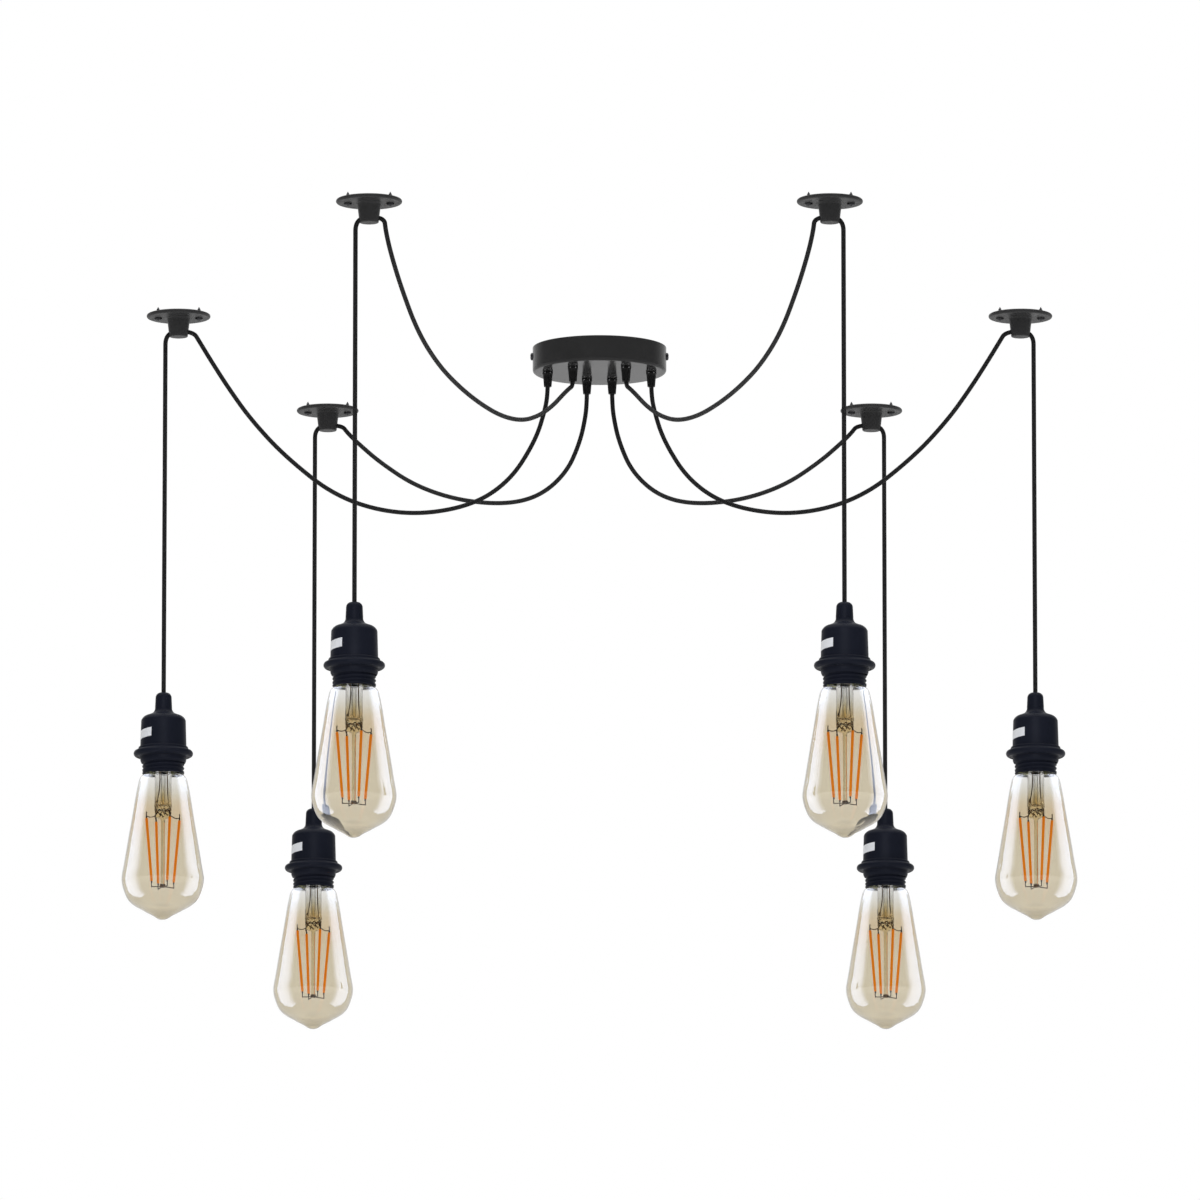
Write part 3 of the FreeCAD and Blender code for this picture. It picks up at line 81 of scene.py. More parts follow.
# One row of lights: hook across and along, grip across and along, holder's top, and the
# swag: its depth, the straight lead below the grip, the part held inside the grip, and
# pairs of shares (of the way to the grip, of the depth)
ROWS = {
    "front": dict(
        hook=(174, -580), grip=(21, -26), top=-309, depth=90.3, lead=3.3, held=4.2,
        shares=[(0.007, 0.105), (0.033, 0.266), (0.0875, 0.498), (0.1715, 0.770), (0.2765, 0.925),
                (0.388, 0.986), (0.500, 1.0), (0.612, 0.975), (0.721, 0.886), (0.812, 0.736),
                (0.889, 0.554), (0.945, 0.388), (0.980, 0.291)]),
    "side": dict(
        hook=(330, -136), grip=(41, -4), top=-301, depth=132.5, lead=4.0, held=6.0,
        shares=[(0.0185, 0.062), (0.050, 0.167), (0.098, 0.319), (0.162, 0.500), (0.2585, 0.706),
                (0.4085, 0.932), (0.5905, 1.0), (0.7725, 0.917), (0.8895, 0.743), (0.9645, 0.479),
                (0.9935, 0.275)]),
    "back": dict(
        hook=(220, 255), grip=(10, 26), top=-328, depth=94.0, lead=4.0, held=6.0,
        shares=[(0.023, 0.0755), (0.067, 0.188), (0.159, 0.399), (0.304, 0.670), (0.483, 0.878),
                (0.675, 1.0), (0.8135, 0.989), (0.919, 0.835), (0.972, 0.601), (0.995, 0.388)]),
}
SIDES = {"left": -1, "right": 1}
LIGHTS = [(row, side) for row in ROWS for side in SIDES]


def hook_at(row, side):
    """Middle of a hook on the ceiling, in millimetres."""
    across, along = ROWS[row]["hook"]
    return np.array([SIDES[side] * across, along, 0.0])


def grip_at(row, side):
    """Middle of a cord grip on the rose's underside, in millimetres."""
    across, along = ROWS[row]["grip"]
    return np.array([SIDES[side] * across, along, ROSE_Z])


def holder_at(row, side):
    """Top of a lamp holder, in millimetres."""
    across, along = ROWS[row]["hook"]
    return np.array([SIDES[side] * (across + BEND_REACH), along, ROWS[row]["top"]])


# Camera and stage

def photo_camera():
    """Long lens from slightly below, aimed at the middle of the photographed frame."""
    rise = math.radians(10.2)
    distance = 12.0
    aim_x, aim_z = 0.0004, -0.203
    eye = Vector((aim_x, -distance * math.cos(rise), aim_z - distance * math.sin(rise)))
    data = bpy.data.cameras.new("camera")
    data.sensor_width = 36
    data.lens = 455.4
    data.clip_end = 500
    camera = bpy.data.objects.new("camera", data)
    camera.location = eye
    camera.rotation_euler = (math.pi / 2 + rise, 0, 0)
    bpy.context.scene.collection.objects.link(camera)
    bpy.context.scene.camera = camera


def panel(name, centre, facing, width, height, brightness, colour, lit):
    """A light panel that the camera doesn't see and that lights one collection of pieces."""
    data = bpy.data.lights.new(name, "AREA")
    data.shape = "RECTANGLE"
    data.size, data.size_y = width, height
    data.energy = math.pi * brightness * width * height
    data.color = colour
    light = bpy.data.objects.new(name, data)
    light.location = centre
    light.rotation_euler = Vector(facing).to_track_quat("-Z", "Y").to_euler()
    light.visible_camera = False
    light.light_linking.receiver_collection = lit
    bpy.context.scene.collection.objects.link(light)
    return light


def soft_box(name, side, lit):
    """A tall soft box at one side, in upright strips that face the lamp.

    Each strip is given by its front and rear edge, its foot and its brightness: the box
    fades towards both ends, and its rear lower corner is cut off in steps. It shows as a
    reflection only, so that the glass stays clear in front of it.
    """
    reach, head = 6.0, 8.0
    colour = (0.86, 0.95, 1.2)
    strips = [
        (-2.4, -1.7, -6.9, 1.14), (-1.7, -1.1, -6.9, 2.85), (-1.1, -0.5, -6.9, 5.13),
        (-0.5, 1.75, -6.9, 6.27), (1.75, 2.35, -6.9, 5.51), (2.35, 2.85, -5.6, 5.13),
        (2.85, 3.6, -4.2, 4.56), (3.6, 4.4, -2.4, 3.99), (4.4, 7.0, 2.4, 3.42),
        (7.0, 11.0, 3.6, 2.47)]
    for number, (front, rear, foot, brightness) in enumerate(strips):
        centre = (side * reach, (front + rear) / 2, (foot + head) / 2)
        light = panel("%s_%d" % (name, number), centre, (-side, 0, 0), rear - front,
                      head - foot, brightness, colour, lit)
        light.visible_diffuse = False
        light.visible_transmission = False


# Meshes from numpy grids

def grid(points, around=True, loop=False, slot=0, inside=False, marks=None, open_sheet=False):
    """One surface patch: points[row, column], closed round its columns when around is set and
    from its last row to its first when loop is set.

    Rows whose points all coincide are poles. inside turns the faces to the hollow side.
    open_sheet keeps the faces as they are given, since an open patch has no volume to tell
    them by. marks is each row's place along the patch, for the map's second value.
    """
    return dict(points=np.asarray(points, float), around=around, loop=loop, slot=slot,
                inside=inside, marks=marks, open_sheet=open_sheet)


def patch_faces(rows, columns, around, loop):
    """Corner numbers of the quads between neighbouring rows and columns."""
    row = np.arange(rows if loop else rows - 1)
    column = np.arange(columns if around else columns - 1)
    i, j = np.meshgrid(row, column, indexing="ij")
    below, beside = (i + 1) % rows, (j + 1) % columns
    corners = [i * columns + j, i * columns + beside, below * columns + beside, below * columns + j]
    return np.stack(corners, axis=-1).reshape(-1, 4), i.ravel(), j.ravel()


def volume_of(points, faces):
    """Signed volume under quads: the sum of corner triple products over six."""
    a, b, c, d = (points[faces[:, k]] for k in range(4))
    halves = (np.einsum("ij,ij->", a, np.cross(*pair)) for pair in ((b, c), (c, d)))
    return sum(halves) / 6


def make_piece(name, patches, materials, shift=(0, 0, 0), sharp=35.0, tint=None):
    """One object from patches in millimetres, moved by shift, its place in its mesh.

    materials are keys of the table of materials, in the order of the patches' slots.
    tint is an optional pair (attribute name, function of the unshifted points).
    """
    points, faces, slots, maps, start = [], [], [], [], 0
    for patch in patches:
        rows, columns = patch["points"].shape[:2]
        flat = patch["points"].reshape(-1, 3)
        corners, i, j = patch_faces(rows, columns, patch["around"], patch["loop"])
        turned = (volume_of(flat, corners) < 0) != patch["inside"]
        if patch["open_sheet"]:
            turned = patch["inside"]
        u = np.stack([j, j + 1, j + 1, j], axis=-1) / columns
        v = np.stack([i, i, i + 1, i + 1], axis=-1) / max(rows - 1, 1)
        if patch["marks"] is not None:
            along = patch["marks"]
            after = along[(i + 1) % rows]
            v = np.stack([along[i], along[i], after, after], axis=-1)
        if turned:
            corners, u, v = corners[:, ::-1], u[:, ::-1], v[:, ::-1]
        points.append(flat)
        faces.append(corners + start)
        maps.append(np.stack([u, v], axis=-1).reshape(-1, 2))
        slots.append(np.full(len(corners), patch["slot"]))
        start += len(flat)
    points, faces = np.concatenate(points), np.concatenate(faces)
    mesh = bpy.data.meshes.new(name)
    mesh.vertices.add(len(points))
    mesh.vertices.foreach_set("co", ((points + np.asarray(shift)) * MM).astype(np.float32).ravel())
    mesh.loops.add(faces.size)
    mesh.loops.foreach_set("vertex_index", faces.astype(np.int32).ravel())
    mesh.polygons.add(len(faces))
    mesh.polygons.foreach_set("loop_start", np.arange(0, faces.size, 4, dtype=np.int32))
    mesh.polygons.foreach_set("material_index", np.concatenate(slots).astype(np.int32))
    mesh.update(calc_edges=True)
    run = mesh.uv_layers.new(name="run")
    run.data.foreach_set("uv", np.concatenate(maps).astype(np.float32).ravel())
    if tint is not None:
        shade = mesh.attributes.new(tint[0], "FLOAT", "POINT")
        shade.data.foreach_set("value", tint[1](points).astype(np.float32))
    weld(mesh)
    smooth(mesh, sharp)
    for key in materials:
        mesh.materials.append(MATERIALS[key])
    piece = bpy.data.objects.new(name, mesh)
    bpy.context.scene.collection.objects.link(piece)
    return piece


def weld(mesh):
    """Joins points in the same place, so that poles and seams are closed."""
    work = bmesh.new()
    work.from_mesh(mesh)
    bmesh.ops.remove_doubles(work, verts=work.verts, dist=1e-8)
    bmesh.ops.dissolve_degenerate(work, edges=work.edges, dist=1e-9)
    work.to_mesh(mesh)
    work.free()


def smooth(mesh, sharp):
    """Smooth shading, with edges left sharp from an angle in degrees on."""
    mesh.polygons.foreach_set("use_smooth", np.ones(len(mesh.polygons), dtype=bool))
    mesh.set_sharp_from_angle(angle=math.radians(sharp))


def full_turn(segments):
    """Even angles once round."""
    return np.arange(segments) / segments * 2 * math.pi


def swept(radius, turn, height):
    """Points from radius, angle and height, each spread to the others' shape."""
    radius, turn, height = np.broadcast_arrays(radius, turn, height)
    return np.stack([radius * np.cos(turn), radius * np.sin(turn), height], axis=-1)


def polar(points):
    """Radius, angle and height of points."""
    x, y, height = np.moveaxis(points, -1, 0)
    return np.hypot(x, y), np.arctan2(y, x), height


def drawn_in(points, depth):
    """Points moved towards the z axis by a depth for each."""
    x, y, height = np.moveaxis(points, -1, 0)
    scale = 1 - depth / np.maximum(np.hypot(x, y), 0.1)
    return np.stack([x * scale, y * scale, height], axis=-1)


def fade(value, start, width):
    """0 below the start, rising evenly to 1 over the width."""
    return np.clip((value - start) / width, 0, 1)


def moved(patches, shift):
    """The patches with their points moved by a shift."""
    return [dict(patch, points=patch["points"] + shift) for patch in patches]


def turned(profile, segments=TURNED, **more):
    """A turned surface: each profile point (radius, height) carried round the z axis."""
    profile = np.asarray(profile, float)
    return grid(swept(profile[:, :1], full_turn(segments), profile[:, 1:2]), **more)


def arc(first, middle, last, steps=10):
    """Points (radius, height, 0) on the circle through three points, first to last."""
    (ax, ay), (bx, by), (cx, cy) = first, middle, last
    twice = 2 * (ax * (by - cy) + bx * (cy - ay) + cx * (ay - by))
    a, b, c = ax ** 2 + ay ** 2, bx ** 2 + by ** 2, cx ** 2 + cy ** 2
    ux = (a * (by - cy) + b * (cy - ay) + c * (ay - by)) / twice
    uy = (a * (cx - bx) + b * (ax - cx) + c * (bx - ax)) / twice
    radius = math.hypot(ax - ux, ay - uy)
    begin, end = math.atan2(ay - uy, ax - ux), math.atan2(cy - uy, cx - ux)
    via = (math.atan2(by - uy, bx - ux) - begin) % (2 * math.pi)
    sweep = (end - begin) % (2 * math.pi)
    if via > sweep:
        sweep -= 2 * math.pi
    turn = begin + np.linspace(0, 1, steps) * sweep
    x, y = ux + radius * np.cos(turn), uy + radius * np.sin(turn)
    return np.column_stack([x, y, np.zeros(steps)])


def outline(*stretches, longest=2.5, closed=False):
    """A profile from corners (radius, height, easing) and arcs, its edges eased.

    Each corner with an easing is replaced by a parabola that starts and ends that far
    from it; stretches longer than the longest are divided evenly.
    """
    corners = np.vstack([np.atleast_2d(part) for part in stretches])
    if closed:
        corners = np.vstack([corners, corners[:1]])
    eased = [corners[0, :2]] if not closed else []
    count = len(corners)
    for k in range(0 if closed else 1, count - 1):
        before = corners[k - 1] if k else corners[-2]
        here, after = corners[k], corners[k + 1]
        if here[2] <= 0:
            eased.append(here[:2])
            continue
        into, out = here[:2] - before[:2], after[:2] - here[:2]
        reach = min(here[2], 0.45 * np.linalg.norm(into), 0.45 * np.linalg.norm(out))
        a = here[:2] - into / np.linalg.norm(into) * reach
        b = here[:2] + out / np.linalg.norm(out) * reach
        t = np.linspace(0, 1, 5)[:, None]
        eased.extend((1 - t) ** 2 * a + 2 * t * (1 - t) * here[:2] + t ** 2 * b)
    if not closed:
        eased.append(corners[-1, :2])
    line = np.array(eased)
    if closed:
        line = np.vstack([line, line[:1]])
    pieces = []
    for a, b in zip(line[:-1], line[1:]):
        share = np.arange(max(1, math.ceil(np.linalg.norm(b - a) / longest)))
        pieces.append(a + (b - a) * (share / len(share))[:, None])
    if not closed:
        pieces.append(line[-1:])
    return np.vstack(pieces)


def ring_grid(profile, segments=TURNED, **more):
    """A turned surface whose profile closes on itself."""
    return turned(profile, segments, loop=True, **more)


def tube(path, radius, segments=20, **more):
    """A round tube: rings at the path's points in frames that don't twist, ends closed.

    radius is one number or one per point. The map runs round the tube from 0 to 1 and along
    it in metres.
    """
    path = np.asarray(path, float)
    radius = np.broadcast_to(np.asarray(radius, float), (len(path),))
    ahead = np.gradient(path, axis=0)
    ahead /= np.linalg.norm(ahead, axis=1)[:, None]
    side = np.empty_like(path)
    start = np.cross(ahead[0], [0.0, 0.0, 1.0])
    if np.linalg.norm(start) < 0.1:
        start = np.cross(ahead[0], [0.0, 1.0, 0.0])
    side[0] = start / np.linalg.norm(start)
    for k in range(1, len(path)):
        carried = side[k - 1] - ahead[k] * np.dot(side[k - 1], ahead[k])
        side[k] = carried / np.linalg.norm(carried)
    over = np.cross(ahead, side)
    turn = full_turn(segments)
    rings = path[:, None] + radius[:, None, None] * (
        side[:, None] * np.cos(turn)[:, None] + over[:, None] * np.sin(turn)[:, None])
    ends = [np.repeat(path[k][None, None], segments, axis=1) for k in (0, -1)]
    rings = np.concatenate([ends[0], rings, ends[1]])
    along = run_along(path) * MM
    return grid(rings, marks=np.concatenate([along[:1], along, along[-1:]]), **more)


def run_along(points):
    """How far along a line of points each of them lies."""
    return np.concatenate([[0], np.cumsum(np.linalg.norm(np.diff(points, axis=0), axis=1))])


# Materials

def add_node(tree, kind, **values):
    """A shader node with its properties and plain socket values set."""
    node = tree.nodes.new(kind)
    for key, value in values.items():
        if hasattr(node, key):
            setattr(node, key, value)
        else:
            node.inputs[key.replace("_", " ")].default_value = value
    return node


def maths(tree, operation, *values):
    """The output of a Math node whose inputs are numbers or sockets."""
    node = tree.nodes.new("ShaderNodeMath")
    node.operation = operation
    for place, value in enumerate(values):
        if hasattr(value, "is_linked"):
            tree.links.new(value, node.inputs[place])
        else:
            node.inputs[place].default_value = value
    return node.outputs[0]


def spread(tree, value, low, high, start=0.0, end=1.0):
    """The output of a Map Range node from start..end to low..high."""
    node = add_node(tree, "ShaderNodeMapRange", From_Min=start, From_Max=end, To_Min=low,
                    To_Max=high)
    tree.links.new(value, node.inputs["Value"])
    return node.outputs["Result"]


def mixed(tree, share, first, second):
    """The colour between two colours at a share."""
    node = tree.nodes.new("ShaderNodeMix")
    node.data_type = "RGBA"
    tree.links.new(share, node.inputs["Factor"])
    ends = [socket for socket in node.inputs if socket.type == "RGBA"]
    for socket, value in zip(ends, (first, second)):
        if hasattr(value, "is_linked"):
            tree.links.new(value, socket)
        else:
            socket.default_value = (*value, 1)
    return next(socket for socket in node.outputs if socket.type == "RGBA")


def grain_group():
    """Two sizes of unevenness: fine grain for the height, slow mottle for colour and gloss."""
    group = bpy.data.node_groups.new("surface grain", "ShaderNodeTree")
    for name, value in (("Grains per metre", 1500.0), ("Mottles per metre", 60.0)):
        socket = group.interface.new_socket(name, in_out="INPUT", socket_type="NodeSocketFloat")
        socket.default_value = value
    for name in ("Grain", "Mottle"):
        group.interface.new_socket(name, in_out="OUTPUT", socket_type="NodeSocketFloat")
    inputs = group.nodes.new("NodeGroupInput")
    outputs = group.nodes.new("NodeGroupOutput")
    place = group.nodes.new("ShaderNodeTexCoord")
    for name, rate, detail in (("Grain", "Grains per metre", 2.0),
                               ("Mottle", "Mottles per metre", 4.0)):
        noise = add_node(group, "ShaderNodeTexNoise", Detail=detail)
        group.links.new(place.outputs["Object"], noise.inputs["Vector"])
        group.links.new(inputs.outputs[rate], noise.inputs["Scale"])
        group.links.new(noise.outputs["Fac"], outputs.inputs[name])
    return group


GRAIN = grain_group()


def new_material(name, **plain):
    """A material with plain values on its shader; gives it, its tree and its shader."""
    material = bpy.data.materials.new(name)
    material.use_nodes = True
    shader = material.node_tree.nodes["Principled BSDF"]
    for key, value in plain.items():
        shader.inputs[key.replace("_", " ")].default_value = value
    return material, material.node_tree, shader


def raised(tree, shader, height, strength, distance):
    """Bumps from a height, on the shader's normal."""
    lift = add_node(tree, "ShaderNodeBump", Strength=strength, Distance=distance)
    tree.links.new(height, lift.inputs["Height"])
    tree.links.new(lift.outputs["Normal"], shader.inputs["Normal"])


def noise_on_object(tree, scale, detail):
    """Noise in the piece's own coordinates, as a socket."""
    place = tree.nodes.new("ShaderNodeTexCoord")
    noise = add_node(tree, "ShaderNodeTexNoise", Scale=scale, Detail=detail)
    tree.links.new(place.outputs["Object"], noise.inputs["Vector"])
    return noise.outputs["Fac"]


def run_map(tree):
    """The map called run: round the piece in X and along it in Y."""
    run = add_node(tree, "ShaderNodeUVMap", uv_map="run")
    split = tree.nodes.new("ShaderNodeSeparateXYZ")
    tree.links.new(run.outputs["UV"], split.inputs["Vector"])
    return split.outputs["X"], split.outputs["Y"]


def finish(name, colour, second, rough, grains=1500.0, mottles=60.0, bump=0.1, **plain):
    """A material on the surface grain: colour and gloss follow the mottle, height the grain."""
    material, tree, shader = new_material(name, **plain)
    grain = tree.nodes.new("ShaderNodeGroup")
    grain.node_tree = GRAIN
    grain.inputs["Grains per metre"].default_value = grains
    grain.inputs["Mottles per metre"].default_value = mottles
    mottle = spread(tree, grain.outputs["Mottle"], 0.0, 1.0, 0.3, 0.7)
    tree.links.new(mixed(tree, mottle, colour, second), shader.inputs["Base Color"])
    gloss = spread(tree, grain.outputs["Mottle"], *rough, 0.3, 0.7)
    tree.links.new(gloss, shader.inputs["Roughness"])
    raised(tree, shader, grain.outputs["Grain"], bump, 0.0001)
    return material


def braid_material():
    """Black textile braid: two sets of strands cross over the cord, with grey flecks in rows."""
    material, tree, shader = new_material("cord_braid", Specular_IOR_Level=0.2, Sheen_Weight=0.05,
                                          Sheen_Roughness=0.5)
    around, along = run_map(tree)
    strands, pitch = 8.0, 0.0115
    round_turn = maths(tree, "MULTIPLY", around, strands * 2 * math.pi)
    along_turn = maths(tree, "MULTIPLY", along, strands * 2 * math.pi / pitch)
    one = maths(tree, "SINE", maths(tree, "ADD", round_turn, along_turn))
    other = maths(tree, "SINE", maths(tree, "SUBTRACT", round_turn, along_turn))
    over = maths(tree, "MAXIMUM", one, other)
    both = maths(tree, "MULTIPLY", one, other)
    height = maths(tree, "ADD", over, maths(tree, "MULTIPLY", both, 0.4))
    fleck = spread(tree, both, 0.0, 1.0, 0.55, 0.95)
    fibre = noise_on_object(tree, 2600.0, 2.0)
    dark = mixed(tree, fibre, (0.004, 0.004, 0.0045), (0.014, 0.014, 0.015))
    tree.links.new(mixed(tree, fleck, dark, (0.13, 0.13, 0.135)), shader.inputs["Base Color"])
    tree.links.new(spread(tree, fibre, 0.7, 0.95, 0.3, 0.7), shader.inputs["Roughness"])
    raised(tree, shader, height, 0.7, 0.0003)
    return material


def glass_material(name, tones):
    """Blown glass, faintly rippled, its tones given as (share of the way down, colour)."""
    material, tree, shader = new_material(name, Transmission_Weight=1.0, IOR=1.5, Roughness=0.0)
    down = add_node(tree, "ShaderNodeAttribute", attribute_name="down")
    ramp = tree.nodes.new("ShaderNodeValToRGB")
    ramp.color_ramp.interpolation = "B_SPLINE"
    for number, (share, colour) in enumerate(tones):
        stops = ramp.color_ramp.elements
        stop = stops[number] if number < 2 else stops.new(share)
        stop.position = share
        stop.color = (*colour, 1)
    tree.links.new(down.outputs["Fac"], ramp.inputs["Fac"])
    tree.links.new(ramp.outputs["Color"], shader.inputs["Base Color"])
    raised(tree, shader, noise_on_object(tree, 45.0, 1.0), 0.02, 0.001)
    return material


def filament_material():
    """Orange phosphor with a faint painted glow, brighter over a row of chips and darker between
    them.
    """
    material = finish("filament_phosphor", (0.95, 0.29, 0.004), (0.8, 0.21, 0.003), (0.45, 0.6),
                      grains=4000.0, mottles=900.0, bump=0.2, Specular_IOR_Level=0.1,
                      Emission_Strength=0.5)
    tree = material.node_tree
    chip_pitch = 0.0016
    along = run_map(tree)[1]
    chips = maths(tree, "SINE", maths(tree, "MULTIPLY", along, 2 * math.pi / chip_pitch))
    share = spread(tree, chips, 0.0, 1.0, -1.0, 1.0)
    # Painted glow: the emission colour rises over each chip and falls between them, though the
    # filament lights nothing.
    glow = mixed(tree, share, (0.82, 0.19, 0.001), (1.0, 0.31, 0.002))
    tree.links.new(glow, tree.nodes["Principled BSDF"].inputs["Emission Color"])
    return material


MATERIALS = {
    "rose": finish(
        "rose_powder_coat", (0.044, 0.044, 0.0445), (0.038, 0.038, 0.0385), (0.14, 0.17),
        grains=1300.0, mottles=40.0, bump=0.02, Specular_IOR_Level=0.1),
    "bracket": finish(
        "bracket_zinc", (0.60, 0.60, 0.58), (0.42, 0.43, 0.44), (0.28, 0.5),
        grains=900.0, mottles=220.0, bump=0.05, Metallic=1.0),
    "block": finish(
        "block_polyamide", (0.72, 0.70, 0.64), (0.62, 0.60, 0.54), (0.4, 0.5), bump=0.06),
    "grip": finish(
        "grip_nylon", (0.006, 0.006, 0.0063), (0.004, 0.004, 0.0043), (0.38, 0.5),
        grains=2200.0, bump=0.12, Specular_IOR_Level=0.25),
    "hook": finish(
        "hook_moulding", (0.046, 0.046, 0.047), (0.039, 0.039, 0.040), (0.38, 0.46),
        grains=1800.0, bump=0.12, Specular_IOR_Level=0.15),
    "screw": finish(
        "blackened_steel", (0.07, 0.07, 0.075), (0.035, 0.035, 0.04), (0.3, 0.45),
        bump=0.05, Metallic=0.85),
    "bright_screw": finish(
        "bright_steel", (0.62, 0.62, 0.62), (0.5, 0.5, 0.52), (0.2, 0.35),
        bump=0.03, Metallic=1.0),
    "holder": finish(
        "holder_phenolic", (0.0125, 0.0145, 0.0235), (0.0105, 0.0125, 0.0205), (0.36, 0.44),
        grains=1700.0, mottles=50.0, bump=0.08, Specular_IOR_Level=0.06),
    "contact": finish(
        "contact_brass", (0.66, 0.52, 0.22), (0.5, 0.4, 0.16), (0.25, 0.4),
        bump=0.05, Metallic=1.0),
    "base": finish(
        "base_nickel_brass", (0.60, 0.60, 0.26), (0.45, 0.46, 0.18), (0.2, 0.32),
        grains=1800.0, bump=0.04, Metallic=1.0),
    "insulator": finish(
        "base_insulator_glass", (0.012, 0.010, 0.010), (0.02, 0.015, 0.014), (0.1, 0.2),
        grains=900.0, bump=0.05),
    "wire": finish(
        "lead_wire", (0.07, 0.045, 0.025), (0.035, 0.022, 0.012), (0.25, 0.4),
        grains=2500.0, bump=0.05, Metallic=0.9),
    "copper_wire": finish(
        "coppered_wire", (0.27, 0.14, 0.03), (0.12, 0.06, 0.014), (0.25, 0.4),
        grains=2500.0, bump=0.05, Metallic=0.9),
    "label": finish(
        "blank_label", (0.93, 0.94, 0.95), (0.87, 0.88, 0.89), (0.5, 0.6),
        grains=2600.0, mottles=300.0, bump=0.08),
    "cord": braid_material(),
    "glass": glass_material("amber_glass", [
        (0.03, (0.93, 0.93, 0.925)), (0.12, (0.83, 0.82, 0.775)), (0.21, (0.795, 0.715, 0.58)),
        (0.34, (0.795, 0.71, 0.575)), (0.48, (0.795, 0.755, 0.655)), (0.82, (0.82, 0.77, 0.665)),
        (0.96, (0.70, 0.655, 0.55))]),
    # The stem is clear glass; its golden tones round the pinch are a painted reflection.
    "stem": glass_material("stem_glass", [
        (0.08, (0.99, 0.99, 0.985)), (0.16, (0.97, 0.93, 0.80)), (0.24, (0.93, 0.81, 0.49)),
        (0.32, (0.82, 0.765, 0.60))]),
    "filament": filament_material(),
}


# Cords: control points in metres, repeated from the solids' routes

def swag_route(row, side):
    """From the grip, down its lead and along the swag to the middle of the hook's tunnel."""
    data = ROWS[row]
    outward = SIDES[side]
    hook, grip = hook_at(row, side), grip_at(row, side)
    mouth = hook + [-outward * MOUTH_REACH, 0, TUNNEL_Z]
    low_grip = np.array([grip[0], grip[1], TUNNEL_Z])
    way, fall = (np.array(column)[:, None] for column in zip(*data["shares"]))
    swag = mouth + (low_grip - mouth) * way - fall * np.array([0, 0, data["depth"]])
    corner = hook + [outward * BEND_REACH, 0, TUNNEL_Z]
    points = [[grip[0], grip[1], GRIP_END_Z + data["held"]],
              [grip[0], grip[1], GRIP_END_Z - data["lead"]],
              *swag[::-1], mouth, (mouth + corner) / 2]
    return np.array(points) * MM


def drop_route(row, side):
    """From the middle of the tunnel round its outer corner and down into the holder's neck."""
    hook, holder = hook_at(row, side), holder_at(row, side)
    mouth = hook + [-SIDES[side] * MOUTH_REACH, 0, TUNNEL_Z]
    corner = hook + [SIDES[side] * BEND_REACH, 0, TUNNEL_Z]
    points = [(mouth + corner) / 2, corner, corner - [0, 0, STRAIGHT_BELOW_BEND],
              holder - [0, 0, CORD_IN_HOLDER]]
    return np.array(points) * MM


def smooth_line(name, route):
    """The points of the cord's own smooth spline, for its rings to follow."""
    curve = bpy.data.curves.new(name, "CURVE")
    curve.dimensions = "3D"
    curve.resolution_u = 16
    spline = curve.splines.new("NURBS")
    spline.points.add(len(route) - 1)
    spline.points.foreach_set("co", np.column_stack([route, np.ones(len(route))]).ravel())
    spline.order_u = 3
    spline.use_endpoint_u = True
    carrier = bpy.data.objects.new(name, curve)
    mesh = bpy.data.meshes.new_from_object(carrier)
    points = np.empty(len(mesh.vertices) * 3)
    mesh.vertices.foreach_get("co", points)
    points = points.reshape(-1, 3)
    bpy.data.objects.remove(carrier)
    bpy.data.curves.remove(curve)
    bpy.data.meshes.remove(mesh)
    keep = np.concatenate([[True], np.linalg.norm(np.diff(points, axis=0), axis=1) > 1e-6])
    return points[keep]


def make_cords():
    """Swags and hanging cords; gives each light's line through its hook for the channel."""
    channels = {}
    for row, side in LIGHTS:
        light = "%s_%s" % (row, side)
        hook = hook_at(row, side) * MM
        swag = smooth_line("swag_line", swag_route(row, side))
        piece = make_piece("swag_cord_" + light, [tube(swag / MM, CORD / 2, 24)], ["cord"],
                           sharp=60)
        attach(piece, "ceiling_set")
        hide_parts("cord_swag_" + light)
        drop = smooth_line("drop_line", drop_route(row, side))
        piece = make_piece("hanging_cord_" + light, [tube(drop / MM, CORD / 2, 24)], ["cord"],
                           sharp=60)
        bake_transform(piece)
        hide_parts("cord_drop_" + light)
        through = np.vstack([swag[-40:], drop[1:60]])
        channel_reach = 0.045
        near = np.linalg.norm(through - hook, axis=1) < channel_reach
        channels[light] = through[near] / MM
    return channels


# Ceiling rose and what it carries

def make_rose():
    """Pressed cup: flat underside, rounded edge, side wall and an open ceiling side."""
    profile = outline(
        (0, ROSE_Z, 0), (50.8, ROSE_Z, 0),
        arc((50.8, ROSE_Z), (52.356, -19.356), (ROSE_RADIUS, -17.8), 9)[1:],
        (ROSE_RADIUS, 0, 0.25), (51.8, 0, 0.25), (51.8, -17.8, 0),
        arc((51.8, -17.8), (51.507, -18.507), (50.8, -18.8), 5)[1:], (0, -18.8, 0))
    piece = make_piece("rose_cup", [turned(profile, ROSE_TURNED)], ["rose"])
    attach(piece, "ceiling_set")
    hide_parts("canopy")


